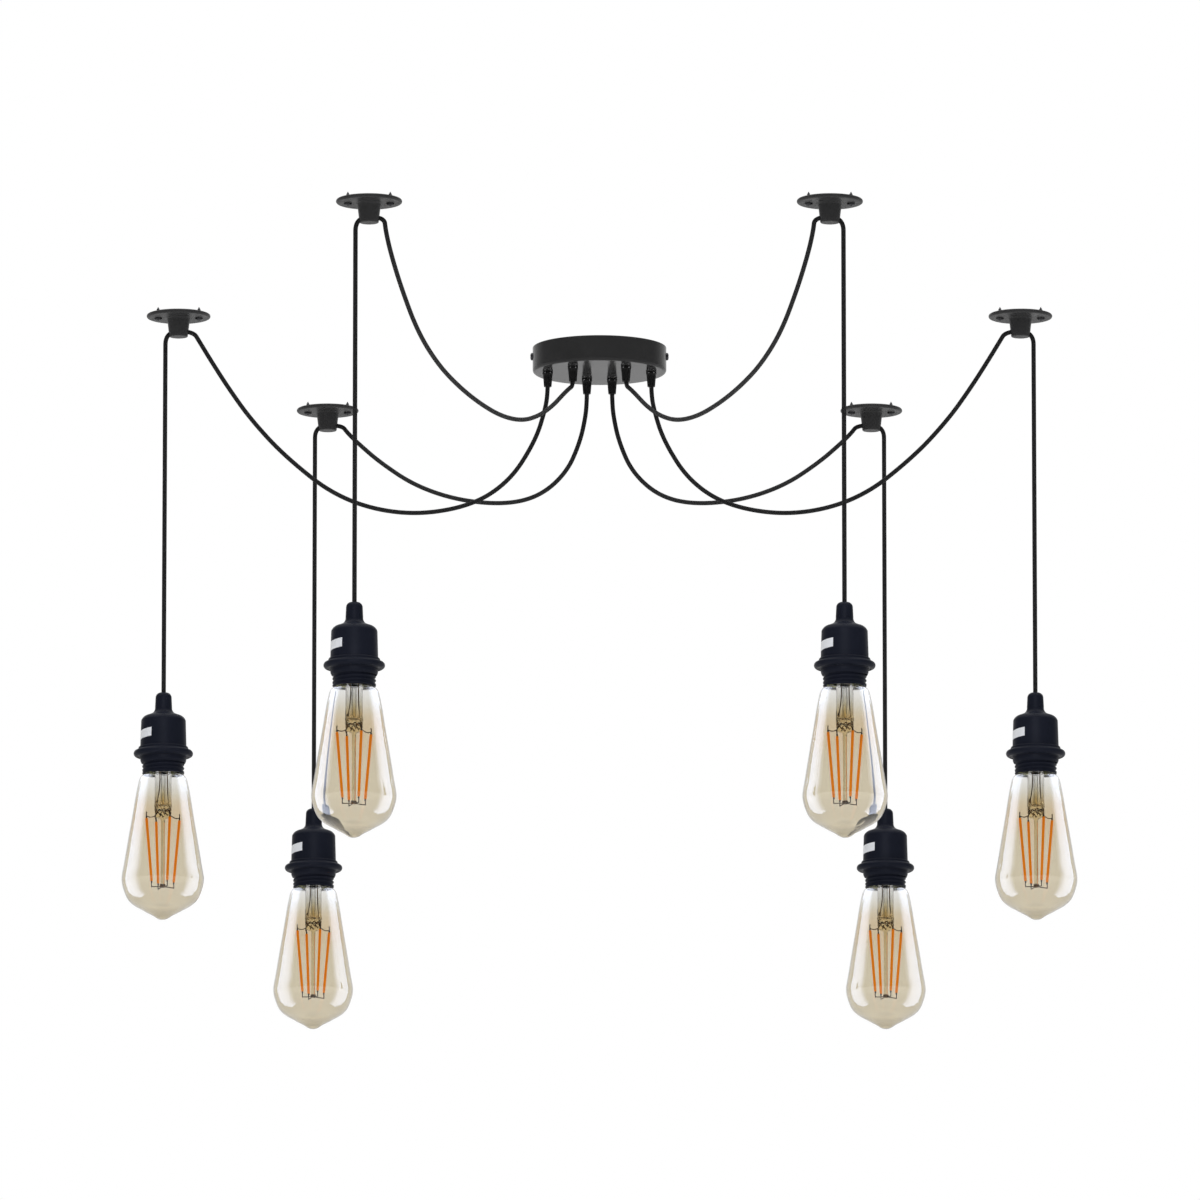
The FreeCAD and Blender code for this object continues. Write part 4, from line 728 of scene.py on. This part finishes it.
def grip_patches():
    """Fluted cord grip under z = 0: collar, tapered cone with eight grooves, stem and nut.

    Each groove's depth falls with the square of the distance from its middle.
    """
    profile = outline(
        (1.95, 6.2, 0), (3.0, 6.2, 0.2), (3.2, 5.9, 0), (3.2, 0, 0), (4.1, 0, 0.15),
        (4.1, -2.1, 0.2), (3.75, -2.6, 0.15), (3.72, -3.3, 0), (3.0, -12.2, 0.35),
        (1.95, -12.2, 0.2), longest=0.6, closed=True)
    patch = ring_grid(profile)
    grooves, groove_radius, half_width, depth = 8, 3.4, 0.55, 0.42
    radius, turn, height = polar(patch["points"])
    off_middle = np.abs((turn * grooves / (2 * math.pi)) % 1 - 0.5) * 2 * math.pi / grooves
    groove = np.clip(1 - (off_middle * groove_radius / half_width) ** 2, 0, 1)
    groove = groove * fade(-height, 2.9, 0.5) * fade(height, -12.0, 0.6)
    on_outside = radius > 2.6
    patch["points"] = drawn_in(patch["points"], np.where(on_outside, depth * groove, 0))
    grubs = [grub_screw(math.radians(degrees)) for degrees in (-122, -58)]
    return [patch, *grubs, hex_nut()]


def grub_screw(turn):
    """A tiny grub screw in the collar's side: a domed steel end with a socket."""
    profile = [(0, -0.18), (0.18, -0.18), (0.2, 0.0), (0.42, 0.0), (0.55, -0.06), (0.55, -0.5),
               (0, -0.5)]
    patch = turned(profile, 16, slot=1)
    out = np.array([math.cos(turn), math.sin(turn), 0])
    side = np.array([-math.sin(turn), math.cos(turn), 0])
    up = np.array([0.0, 0.0, 1.0])
    patch["points"] = out * 4.22 - up * 1.1 + patch["points"] @ np.array([side, up, out])
    return patch


def hex_nut():
    """Lock nut inside the rose: six flats whose corners are turned down at both faces."""
    turn = full_turn(96)
    flats = 4.75 / np.cos((turn + math.pi / 6) % (math.pi / 3) - math.pi / 6)
    bore, face, side = np.full(96, 3.3), np.minimum(flats, 4.8), np.minimum(flats, 5.3)
    heights = np.array([1.2, 1.2, 1.45, 3.95, 4.2, 4.2])[:, None]
    rows = np.array([bore, face, side, side, face, bore])
    return grid(swept(rows, turn, heights), loop=True, slot=2)


def make_grips():
    """Six cord grips in the rose's underside with their nuts."""
    patches = [patch for row, side in LIGHTS for patch in moved(grip_patches(), grip_at(row, side))]
    piece = make_piece("cord_grips_fluted", patches,
                       ["grip", "bright_screw", "grip"], sharp=40)
    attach(piece, "ceiling_set")
    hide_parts("cord_grips")


def screw_patches(head, head_height, length, point):
    """A pan-head screw: recessed head below z = 0 and a helical thread above it.

    The head is a turned crown sunk by a cross; the thread is a cylinder whose radius
    rises and falls with the turn plus the height over the pitch.
    """
    turn = full_turn(SCREW_TURNED)
    share = np.linspace(0, 1, 22)[:, None]
    crown = -head_height * (0.25 + 0.75 * np.cos(share * math.pi / 2) ** 0.6)
    top = swept(head * np.sin(share * math.pi / 2), turn, crown)
    x, y = np.abs(top[..., 0]), np.abs(top[..., 1])
    arm_half_width, arm_reach = 0.32, 1.6
    arm = np.maximum(np.minimum(x, y) / arm_half_width, np.maximum(x, y) / arm_reach)
    top[..., 2] += fade(-arm, -1.25, 0.5) * 0.9
    pitch, rows_per_turn = 1.1, 8
    height = np.linspace(0, length, int(length / pitch * rows_per_turn))[:, None]
    wave = 0.5 + 0.5 * np.cos((height / pitch - turn / (2 * math.pi)) * 2 * math.pi)
    taper = fade(-height, -length, point)
    shank = swept((1.08 + 0.42 * wave ** 2) * (0.08 + 0.92 * taper), turn, height)
    rim, middle, start, end = (swept(radius, turn, np.full((1, 1), z))
                               for radius, z in ((head, 0), (0, 0), (0, 0), (0, length)))
    return [grid(np.concatenate([top, rim, middle])), grid(np.concatenate([start, shank, end]))]


def make_screws():
    """Two ceiling screws in each hook plate, and the rose's two side screws."""
    patches = []
    for row, side in LIGHTS:
        for sign in (-1, 1):
            place = hook_at(row, side) + [sign * HOLE_REACH, 0, PLATE_Z]
            patches += moved(screw_patches(3.0, 1.8, 9.0, 2.2), place)
    for sign in (-1, 1):
        for patch in screw_patches(3.0, 1.9, 8.0, 0.6):
            x, y, z = np.moveaxis(patch["points"], -1, 0)
            patch["points"] = np.stack([sign * (ROSE_RADIUS - z), sign * y, x + SIDE_SCREW_Z],
                                       axis=-1)
            patches.append(patch)
    piece = make_piece("screws_recessed", patches, ["screw"], sharp=30)
    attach(piece, "ceiling_set")
    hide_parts("screws")


def make_hooks(channels):
    """Round plate with a rounded rim and a tapered boss; the cord's own line cuts its channel."""
    profile = outline(
        (0, 0, 0), (23.4, 0, 0), arc((23.4, 0), (25.0, -1.5), (23.4, PLATE_Z), 12)[1:],
        (10.35, PLATE_Z, 0), arc((10.35, PLATE_Z), (9.3, -3.42), (8.82, -4.4), 6)[1:],
        (7.34, -17.2, 0), arc((7.34, -17.2), (7.1, -17.76), (6.5, -18.0), 5)[1:], (0, -18, 0))
    for row, side in LIGHTS:
        light = "%s_%s" % (row, side)
        piece = make_piece("hook_" + light, [turned(profile)], ["hook"], hook_at(row, side))
        cutter = make_piece("channel_" + light, [tube(channels[light], CHANNEL_RADIUS, 28)],
                            ["hook"])
        cut = piece.modifiers.new("channel", "BOOLEAN")
        cut.operation = "DIFFERENCE"
        cut.solver = "EXACT"
        cut.object = cutter
        view = bpy.context.evaluated_depsgraph_get()
        settled = bpy.data.meshes.new_from_object(piece.evaluated_get(view))
        piece.modifiers.clear()
        piece.data = settled
        smooth(settled, 35)
        bpy.data.objects.remove(cutter)
        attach(piece, "ceiling_set")
        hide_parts("ceiling_hooks")


def dress_solids():
    """Materials for the solids whose own shapes are shown."""
    shown = {"mounting_bracket": "bracket", "terminal_block": "block"}
    shown.update({"holder_contacts_%s_%s" % light: "contact" for light in LIGHTS})
    for name, material in shown.items():
        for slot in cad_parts[name].material_slots:
            slot.material = MATERIALS[material]


# Lamp holder, from the top of its neck down

def cap_patches():
    """Domed neck, flare, shoulder and side wall, hollow below."""
    wall_top, wall_foot = CAP_WALL
    profile = outline(
        (1.95, 0, 0.25), arc((2.3, -0.02), (5.1, -1.2), (6.25, -3.6), 12)[1:], (6.65, -11.6, 0.8),
        arc((6.65, -11.6), (7.25, -14.6), (9.2, -16.6), 10)[1:], (12.4, -17.9, 0.8),
        arc((12.4, -17.9), (15.7, -19.6), wall_top, 12)[1:-1], (*wall_top, 0.8),
        (*wall_foot, 0.35), (15.7, -43.7, 0.2), (15.7, -23.5, 0.3), (7.9, -18.6, 0.3),
        (1.95, -18.6, 0.2), closed=True)
    return [ring_grid(profile)]


def barrel_patches():
    """The barrel: smooth above, then an outer helical thread with rounded crests.

    The thread is the crest's cylinder drawn in by a wave of the height over the pitch less
    the turn, which fades out at both ends.
    """
    crest, pitch, depth = BARREL_RADIUS, 3.0, 0.95
    lid = outline((0, -31.5, 0), (15.4, -31.5, 0.2))
    plain = outline((15.4, -31.5, 0.2), (15.4, -43.7, 0.1), (crest, -43.9, 0.15),
                    (crest, -46.0, 0), longest=1.5)
    bore = outline((crest, -64.1, 0), (16.1, -64.5, 0.2), (14.35, -64.5, 0.15),
                   (14.2, -64.2, 0), (14.2, -35.0, 0.1), (0.0, -35.0, 0), longest=2.0)
    height = np.arange(-46.25, -64.0, -0.25)
    threaded = np.column_stack([np.full(len(height), crest), height])
    patch = turned(np.vstack([lid[:-1], plain, threaded, bore[1:]]))
    radius, turn, z = polar(patch["points"])
    wave = 0.5 - 0.5 * np.cos((z / pitch - turn / (2 * math.pi)) * 2 * math.pi)
    window = fade(-z, 46.5, 1.2) * fade(z, -63.6, 0.8) * (radius > 15.8)
    patch["points"] = drawn_in(patch["points"], depth * wave ** 1.5 * window)
    return [patch]


def ring_patches():
    """The shade ring: lip, rounded flange and hub."""
    profile = outline(
        (16.75, -43.95, 0.15), (18.25, -43.95, 0.15), (18.25, -43.0, 0.2), (19.0, -43.0, 0.4),
        (19.5, -43.9, 0.5), (19.55, -45.0, 0.3), (20.1, -45.6, 0.4), (21.0, -45.7, 0),
        arc((21.0, -45.7), (23.15, -48.3), (21.0, -50.9), 16)[1:], (20.4, -50.9, 0.25),
        (20.2, -50.5, 0.2), (18.5, -50.5, 0.4), (17.95, -51.1, 0.3), (17.9, -54.0, 0.8),
        (17.1, -55.8, 0.4), (16.75, -55.8, 0.25), closed=True)
    return [ring_grid(profile)]


def label_patch():
    """A blank label wrapped round the left of the cap at a slight slant, a hair proud of it."""
    (top_radius, top_z), (foot_radius, foot_z) = CAP_WALL
    turn = np.radians(np.linspace(-193, -120, 30))
    slant = 1.6 * np.linspace(1.2, 0, 30)
    height = np.linspace(-29.5, -36.4, 8)[:, None] - slant
    cap_radius = top_radius + (top_z - height) * (foot_radius - top_radius) / (top_z - foot_z)
    outer, inner = (swept(cap_radius + lift, turn, height) for lift in (0.10, -0.05))
    rows = np.concatenate([inner[:1], outer, inner[-1:]])
    return grid(rows, around=False, slot=1, open_sheet=True)


# Bulb, from the same top as its holder

def flowing(points, count):
    """A smooth line through points: a natural cubic spline over the chord lengths."""
    points = np.asarray(points, float)
    knots = run_along(points)
    gaps = np.diff(knots)
    size = len(points)
    system = np.eye(size)
    wanted = np.zeros((size, 2))
    for k in range(1, size - 1):
        system[k, k - 1:k + 2] = gaps[k - 1], 2 * (gaps[k - 1] + gaps[k]), gaps[k]
        rise_after = (points[k + 1] - points[k]) / gaps[k]
        rise_before = (points[k] - points[k - 1]) / gaps[k - 1]
        wanted[k] = 6 * (rise_after - rise_before)
    bend = np.linalg.solve(system, wanted)
    where = np.linspace(0, knots[-1], count)
    k = np.clip(np.searchsorted(knots, where, side="right") - 1, 0, size - 2)
    a = ((knots[k + 1] - where) / gaps[k])[:, None]
    b = 1 - a
    bent = (a ** 3 - a) * bend[k] + (b ** 3 - b) * bend[k + 1]
    return a * points[k] + b * points[k + 1] + bent * (gaps[k] ** 2)[:, None] / 6


def envelope_line():
    """The blown outline from the neck to the tip, as (radius, height).

    Pairs are (share of the width, share of the length); the neck's widths count from the
    neck's own radius, the belly's from the axis.
    """
    neck = [(0.0, -0.005), (0.0, -0.002), (0.069, 0.0035), (0.188, 0.0065), (0.307, 0.028),
            (0.370, 0.063), (0.421, 0.105), (0.553, 0.242), (0.685, 0.379), (0.817, 0.516),
            (0.949, 0.653)]
    belly = [(1.0, 0.732), (0.944, 0.801), (0.838, 0.863), (0.664, 0.9055), (0.50, 0.931),
             (0.385, 0.9495), (0.27, 0.966), (0.195, 0.979), (0.12, 0.9925), (0.05, 0.9988),
             (0.0, 1.0)]
    line = [(NECK_RADIUS + (BULB_RADIUS - NECK_RADIUS) * across, down) for across, down in neck]
    line += [(BULB_RADIUS * across, down) for across, down in belly]
    return [(radius, MOUTH - BULB_LENGTH * down) for radius, down in line]


def glass_patches():
    """Envelope and stem as two nested closed skins: the outside with the stem's bore, and the
    sealed space between envelope and stem, whose pinch narrows one way and whose rod is round.
    An open exhaust tube stands in the stem's bore.

    The dents in the pinch are a product of two waves of turn and height.
    """
    neck_top = MOUTH + 9.5
    outer = flowing(envelope_line(), 150)
    outer[:, 0] = np.maximum(outer[:, 0], 0)
    outer[-1] = (0, MOUTH - BULB_LENGTH)
    step = np.gradient(outer, axis=0)
    step /= np.linalg.norm(step, axis=1)[:, None]
    inner = outer + np.column_stack([step[:, 1], -step[:, 0]]) * WALL
    inner = inner[inner[:, 0] > 0.05]
    inner = np.vstack([inner, [(0, MOUTH - BULB_LENGTH + WALL)]])
    stem_bore = outline(
        (NECK_RADIUS - 0.2, neck_top, 0),
        arc((7.2, neck_top), (6.2, neck_top - 3.4), (5.8, MOUTH), 10), (5.8, -88.0, 0),
        arc((5.8, -88.0), (5.0, -89.4), (3.2, -89.9), 5)[1:], (0, -89.9, 0))
    skin = turned(np.vstack([outer[::-1], [(NECK_RADIUS, neck_top + 0.1)], stem_bore]),
                  GLASS_TURNED)
    flare = arc((NECK_RADIUS - WALL, neck_top - 1.0), (7.4, neck_top - 2.9), (6.6, MOUTH), 14)
    # The stem's and pinch's heights, half widths and half thicknesses, then the rod's
    stem = np.array([
        (-72, 6.6, 6.6), (-80, 6.6, 6.6), (-86.5, 6.6, 6.55), (-88.5, 6.6, 6.5),
        (-89.3, 6.58, 6.2), (-90.2, 6.55, 5.8), (-91.0, 6.52, 5.1), (-91.8, 6.5, 4.2),
        (-92.6, 6.43, 3.2), (-93.4, 6.35, 2.4), (-94.2, 6.28, 2.0), (-95, 6.2, 1.85),
        (-96.2, 6.13, 1.82), (-97.5, 6.07, 1.8), (-98.2, 5.85, 1.8), (-98.7, 5.4, 1.8),
        (-99.3, 3.6, 1.75), (-99.9, 2.0, 1.65),
        *[(height, ROD_RADIUS, ROD_RADIUS) for height in (-100.8, -110, -125, -140, -153.1)],
        (-153.7, 1.5, 1.5), (-153.95, 1.0, 1.0), (-154.0, 0, 0)])
    high = np.concatenate([inner[::-1][:, 1], flare[:, 1], stem[:, 0]])[:, None]
    wide, thin = (np.concatenate([inner[::-1][:, 0], flare[:, 0], stem[:, column]])[:, None]
                  for column in (1, 2))
    turn = full_turn(GLASS_TURNED)
    pinched = fade(-high, 86.5, 2) * fade(high, -99.5, 1.5) * (wide < 7)
    dent = 1 + 0.09 * pinched * np.sin(3 * turn + high * 1.7) * np.cos(7 * turn - high)
    hollow = swept(wide * dent, turn, high)
    hollow[..., 1] = thin * dent * np.sin(turn)
    count = len(inner)
    exhaust = outline((1.2, -89.6, 0), (1.9, -89.6, 0.2), (1.9, -46.0, 0.2), (1.2, -46.0, 0),
                      longest=4.0, closed=True)
    return [skin, grid(hollow[:count + 1], inside=True, open_sheet=True),
            grid(hollow[count:], slot=1, inside=True, open_sheet=True),
            ring_grid(exhaust, 32, slot=1)]


def down_share(points):
    """How far down the bulb a point lies: 0 at the holder's mouth, 1 at the tip."""
    return (MOUTH - points[:, 2]) / BULB_LENGTH


def base_patches():
    """Screw base: a metal shell rolled into a round thread, insulator and tip.

    The shell's radius is drawn in by a wave of the height over the pitch less the turn.
    """
    crest, pitch, depth, sheet = 13.2, 3.62, 0.62, 0.4
    height = np.arange(-63.7, -45.9, 0.3)[:, None]
    turn = full_turn(TURNED)
    wave = np.cos((height / pitch - turn / (2 * math.pi)) * 2 * math.pi)
    window = fade(height, -62.6, 1.2) * fade(-height, 46.4, 0.8)
    radius = crest - depth * (0.5 - 0.5 * wave) * window
    outside = swept(radius, turn, height)
    inside = swept(radius - sheet, turn, height)[::-1]
    closing = turned([(13.0, -45.3), (12.2, -44.6), (10.6, -43.3), (9.6, -42.62), (9.1, -42.6),
                      (9.1, -43.0), (12.4, -45.4), (12.6, -46.0)])["points"]
    shell = grid(np.concatenate([outside, closing, inside]), loop=True)
    insulator = turned(outline((0, -42.6, 0), (9.2, -42.6, 0.2), (5.2, -39.4, 0.2),
                               (0, -39.4, 0)), 64, slot=1)
    crown = arc((4.8, -39.4), (3.46, -38.42), (1.44, -38.0), 8)[1:]
    tip = turned(outline((0, -39.4, 0), (4.8, -39.4, 0), crown, (0, -38.0, 0)), 64, slot=0)
    return [shell, insulator, tip]


def eased_line(points, count):
    """A smooth line through points in space: each coordinate eased by Catmull-Rom spans."""
    points = np.vstack([2 * points[0] - points[1], points, 2 * points[-1] - points[-2]])
    where = np.linspace(0, len(points) - 3 - 1e-9, count)
    k = where.astype(int)
    t = (where - k)[:, None]
    a, b, c, d = points[k], points[k + 1], points[k + 2], points[k + 3]
    square, cube = 2 * a - 5 * b + 4 * c - d, 3 * b - a - 3 * c + d
    return 0.5 * (2 * b + (c - a) * t + square * t ** 2 + cube * t ** 3)


def filament_patches():
    """Four slanted filaments with metal end caps, their wires and the collar on the rod.

    Each top is tied to its side's lead wire, each foot to the collar. The leads kink in the
    pinch, between short waves of wire, and run up the stem into the base.
    """
    patches = []
    top_reach, top_z, foot_reach, foot_z = 13.9, -100.0, 9.3, -149.5
    top_wire, stub_wire, foot_wire, lead_wire, kinked_wire = 0.35, 0.40, 0.36, 0.42, 0.40
    share = np.array([0.0, 0.004, 0.012, *np.linspace(0.05, 0.95, 30), 0.988, 0.996, 1.0])
    girth = np.array([0.5, 0.88, *np.full(32, 1.05), 0.88, 0.5])
    for number in range(4):
        turn = math.radians(24 + 90 * number)
        out = np.array([math.cos(turn), math.sin(turn), 0])
        top, foot = out * top_reach + [0, 0, top_z], out * foot_reach + [0, 0, foot_z]
        patches.append(tube(top + (foot - top) * share[:, None], girth, 20, slot=0))
        for end, inward in ((top, foot), (foot, top)):
            way = (inward - end) / np.linalg.norm(inward - end)
            cap = end + way * np.array([-1.3, -1.25, 1.5, 1.55])[:, None]
            patches.append(tube(cap, [0.5, 0.62, 0.62, 0.55], 16, slot=1))
        side = 1 if out[0] > 0 else -1
        lead = np.array([[side * 5.6, 0, -97.0], [side * 6.4, 0, -97.6]])
        tied = top + [0, 0, 1.5]
        sag = lead[1] * 0.5 + tied * 0.5 + [0, 0, -0.9]
        wire = eased_line(np.vstack([lead, sag, tied + out * 0.3]), 24)
        patches.append(tube(wire, top_wire, 10, slot=1))
        stub = [top, tied, top + out * 0.2 + [0, 0, 3.2], top - out * 0.1 + [0, 0, 4.9]]
        patches.append(tube(eased_line(np.vstack(stub), 14), stub_wire, 10, slot=1))
        below = foot + [0, 0, -4.3]
        bend = foot + out * 0.1 + [0, 0, -3.6]
        wire = [foot, bend, below - out * 0.9, out * 2.0 + [0, 0, -153.3]]
        patches.append(tube(eased_line(np.vstack(wire), 24), foot_wire, 10, slot=1))
        patches.append(tube(np.vstack([bend, below - [0, 0, 0.5]]), foot_wire, 10, slot=1))
    for lead in ([(-5.6, 0, -97.0), (-4.4, 0.5, -94.6), (-5.3, -0.4, -92.4), (-4.2, 0.3, -90.3),
                  (-4.8, 0, -87.0), (-2.9, 0, -76.0), (-2.6, 0, -62.0), (-4.0, 0, -47.0)],
                 [(5.6, 0, -97.0), (4.7, -0.5, -94.6), (5.4, 0.4, -92.2), (4.3, -0.3, -90.1),
                  (4.2, 0, -87.0), (3.4, 0, -76.0), (3.3, 0, -62.0), (4.5, 0, -47.0)]):
        patches.append(tube(eased_line(np.array(lead), 90), lead_wire, 12, slot=2))
    wave = np.linspace(0, 1, 30)[:, None]
    for start, way, z in ((-2.8, 1, -92.6), (0.2, -1, -91.8), (2.9, 1, -92.8), (-2.6, -1, -95.6),
                          (0.6, 1, -94.4), (2.6, -1, -96.2), (-0.9, 1, -97.4)):
        kink = np.array([start, 0.2 * way, z]) + np.hstack([
            (wave - 0.5) * 2.9, 0.3 * np.sin(wave * 9.0),
            0.95 * way * np.sin(wave * 7.0 + start)])
        patches.append(tube(kink, kinked_wire, 10, slot=2))
    collar = outline((ROD_RADIUS, -151.4, 0), (2.2, -151.4, 0.25), (2.2, -153.8, 0.25),
                     (ROD_RADIUS, -153.8, 0), closed=True)
    patches.append(ring_grid(collar, 40, slot=2))
    return patches


def make_lights():
    """Six lamp holders with their rings and bulbs; gives the two collections of their pieces."""
    bulbs, holders = (bpy.data.collections.new(name) for name in ("bulbs", "holders"))
    kinds = [
        ("cap_domed", cap_patches() + [label_patch()], ["holder", "label"],
         "pendant", "holder_cap", "holder_plastic"),
        ("barrel_threaded", barrel_patches(), ["holder"],
         "pendant", "holder_barrel", "holder_plastic"),
        ("ring_flanged", ring_patches(), ["holder"],
         "ring", "shade_ring", "holder_plastic"),
        ("base_screw", base_patches(), ["base", "insulator"],
         "bulb", "bulb_base", "base_metal"),
        ("envelope_and_stem", glass_patches(), ["glass", "stem"],
         "bulb", "bulb_glass", "amber_glass"),
        ("filaments", filament_patches(), ["filament", "wire", "copper_wire"],
         "bulb", "bulb_filament", "filament_coating"),
    ]
    for row, side in LIGHTS:
        light = "%s_%s" % (row, side)
        for name, patches, materials, body, node, slot in kinds:
            piece = make_piece("%s_%s" % (name, light), patches, materials,
                               shift=holder_at(row, side), sharp=40,
                               tint=("down", down_share) if node == "bulb_glass" else None)
            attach(piece, "%s_%s" % (body, light))
            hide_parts("%s_%s" % (node, light))
            (bulbs if body == "bulb" else holders).objects.link(piece)
    return bulbs, holders


# Stage

def make_stage():
    """A wide pale floor far below, and a dim studio whose white backdrop is seen directly only.

    The studio is brighter behind the light, and brightest overhead.
    """
    reach, floor_z = 300.0, -7
    mesh = bpy.data.meshes.new("floor")
    corners = [(x * reach, y * reach, floor_z) for x, y in ((-1, -1), (1, -1), (1, 1), (-1, 1))]
    mesh.from_pydata(corners, [], [(0, 1, 2, 3)])
    floor = bpy.data.objects.new("floor", mesh)
    bpy.context.scene.collection.objects.link(floor)
    mesh.materials.append(finish("floor_paint", (0.86, 0.86, 0.86), (0.84, 0.84, 0.84),
                                 (0.8, 0.9), grains=60.0, mottles=2.0, bump=0.02))
    world = bpy.data.worlds.new("studio")
    bpy.context.scene.world = world
    world.use_nodes = True
    tree = world.node_tree
    tree.nodes.clear()
    place = tree.nodes.new("ShaderNodeTexCoord")
    split = tree.nodes.new("ShaderNodeSeparateXYZ")
    tree.links.new(place.outputs["Generated"], split.inputs["Vector"])
    studio = add_node(tree, "ShaderNodeBackground", Color=(1, 1, 1, 1))
    behind = spread(tree, split.outputs["Y"], 0.12, 0.75, 0.35, 0.75)
    overhead = spread(tree, split.outputs["Z"], 0.0, 2.0, 0.6, 0.95)
    tree.links.new(maths(tree, "MAXIMUM", behind, overhead), studio.inputs["Strength"])
    backdrop = add_node(tree, "ShaderNodeBackground", Color=(1, 1, 1, 1), Strength=1.0)
    path = tree.nodes.new("ShaderNodeLightPath")
    bounced = maths(tree, "ADD", path.outputs["Glossy Depth"], path.outputs["Diffuse Depth"])
    seen = maths(tree, "LESS_THAN", bounced, 0.5)
    mix = tree.nodes.new("ShaderNodeMixShader")
    tree.links.new(seen, mix.inputs[0])
    tree.links.new(studio.outputs[0], mix.inputs[1])
    tree.links.new(backdrop.outputs[0], mix.inputs[2])
    output = tree.nodes.new("ShaderNodeOutputWorld")
    tree.links.new(mix.outputs[0], output.inputs["Surface"])


photo_camera()
channels = make_cords()
make_rose()
make_grips()
make_screws()
make_hooks(channels)
dress_solids()
bulbs, holders = make_lights()
make_stage()
panel("front_panel", (0, -9, 1.2), (0, 1, -0.15), 5.5, 4.0, 3.2, (0.93, 0.97, 1.1), holders)
for name, side in SIDES.items():
    soft_box("soft_box_" + name, side, bulbs)
bpy.context.scene.view_settings.view_transform = "Standard"
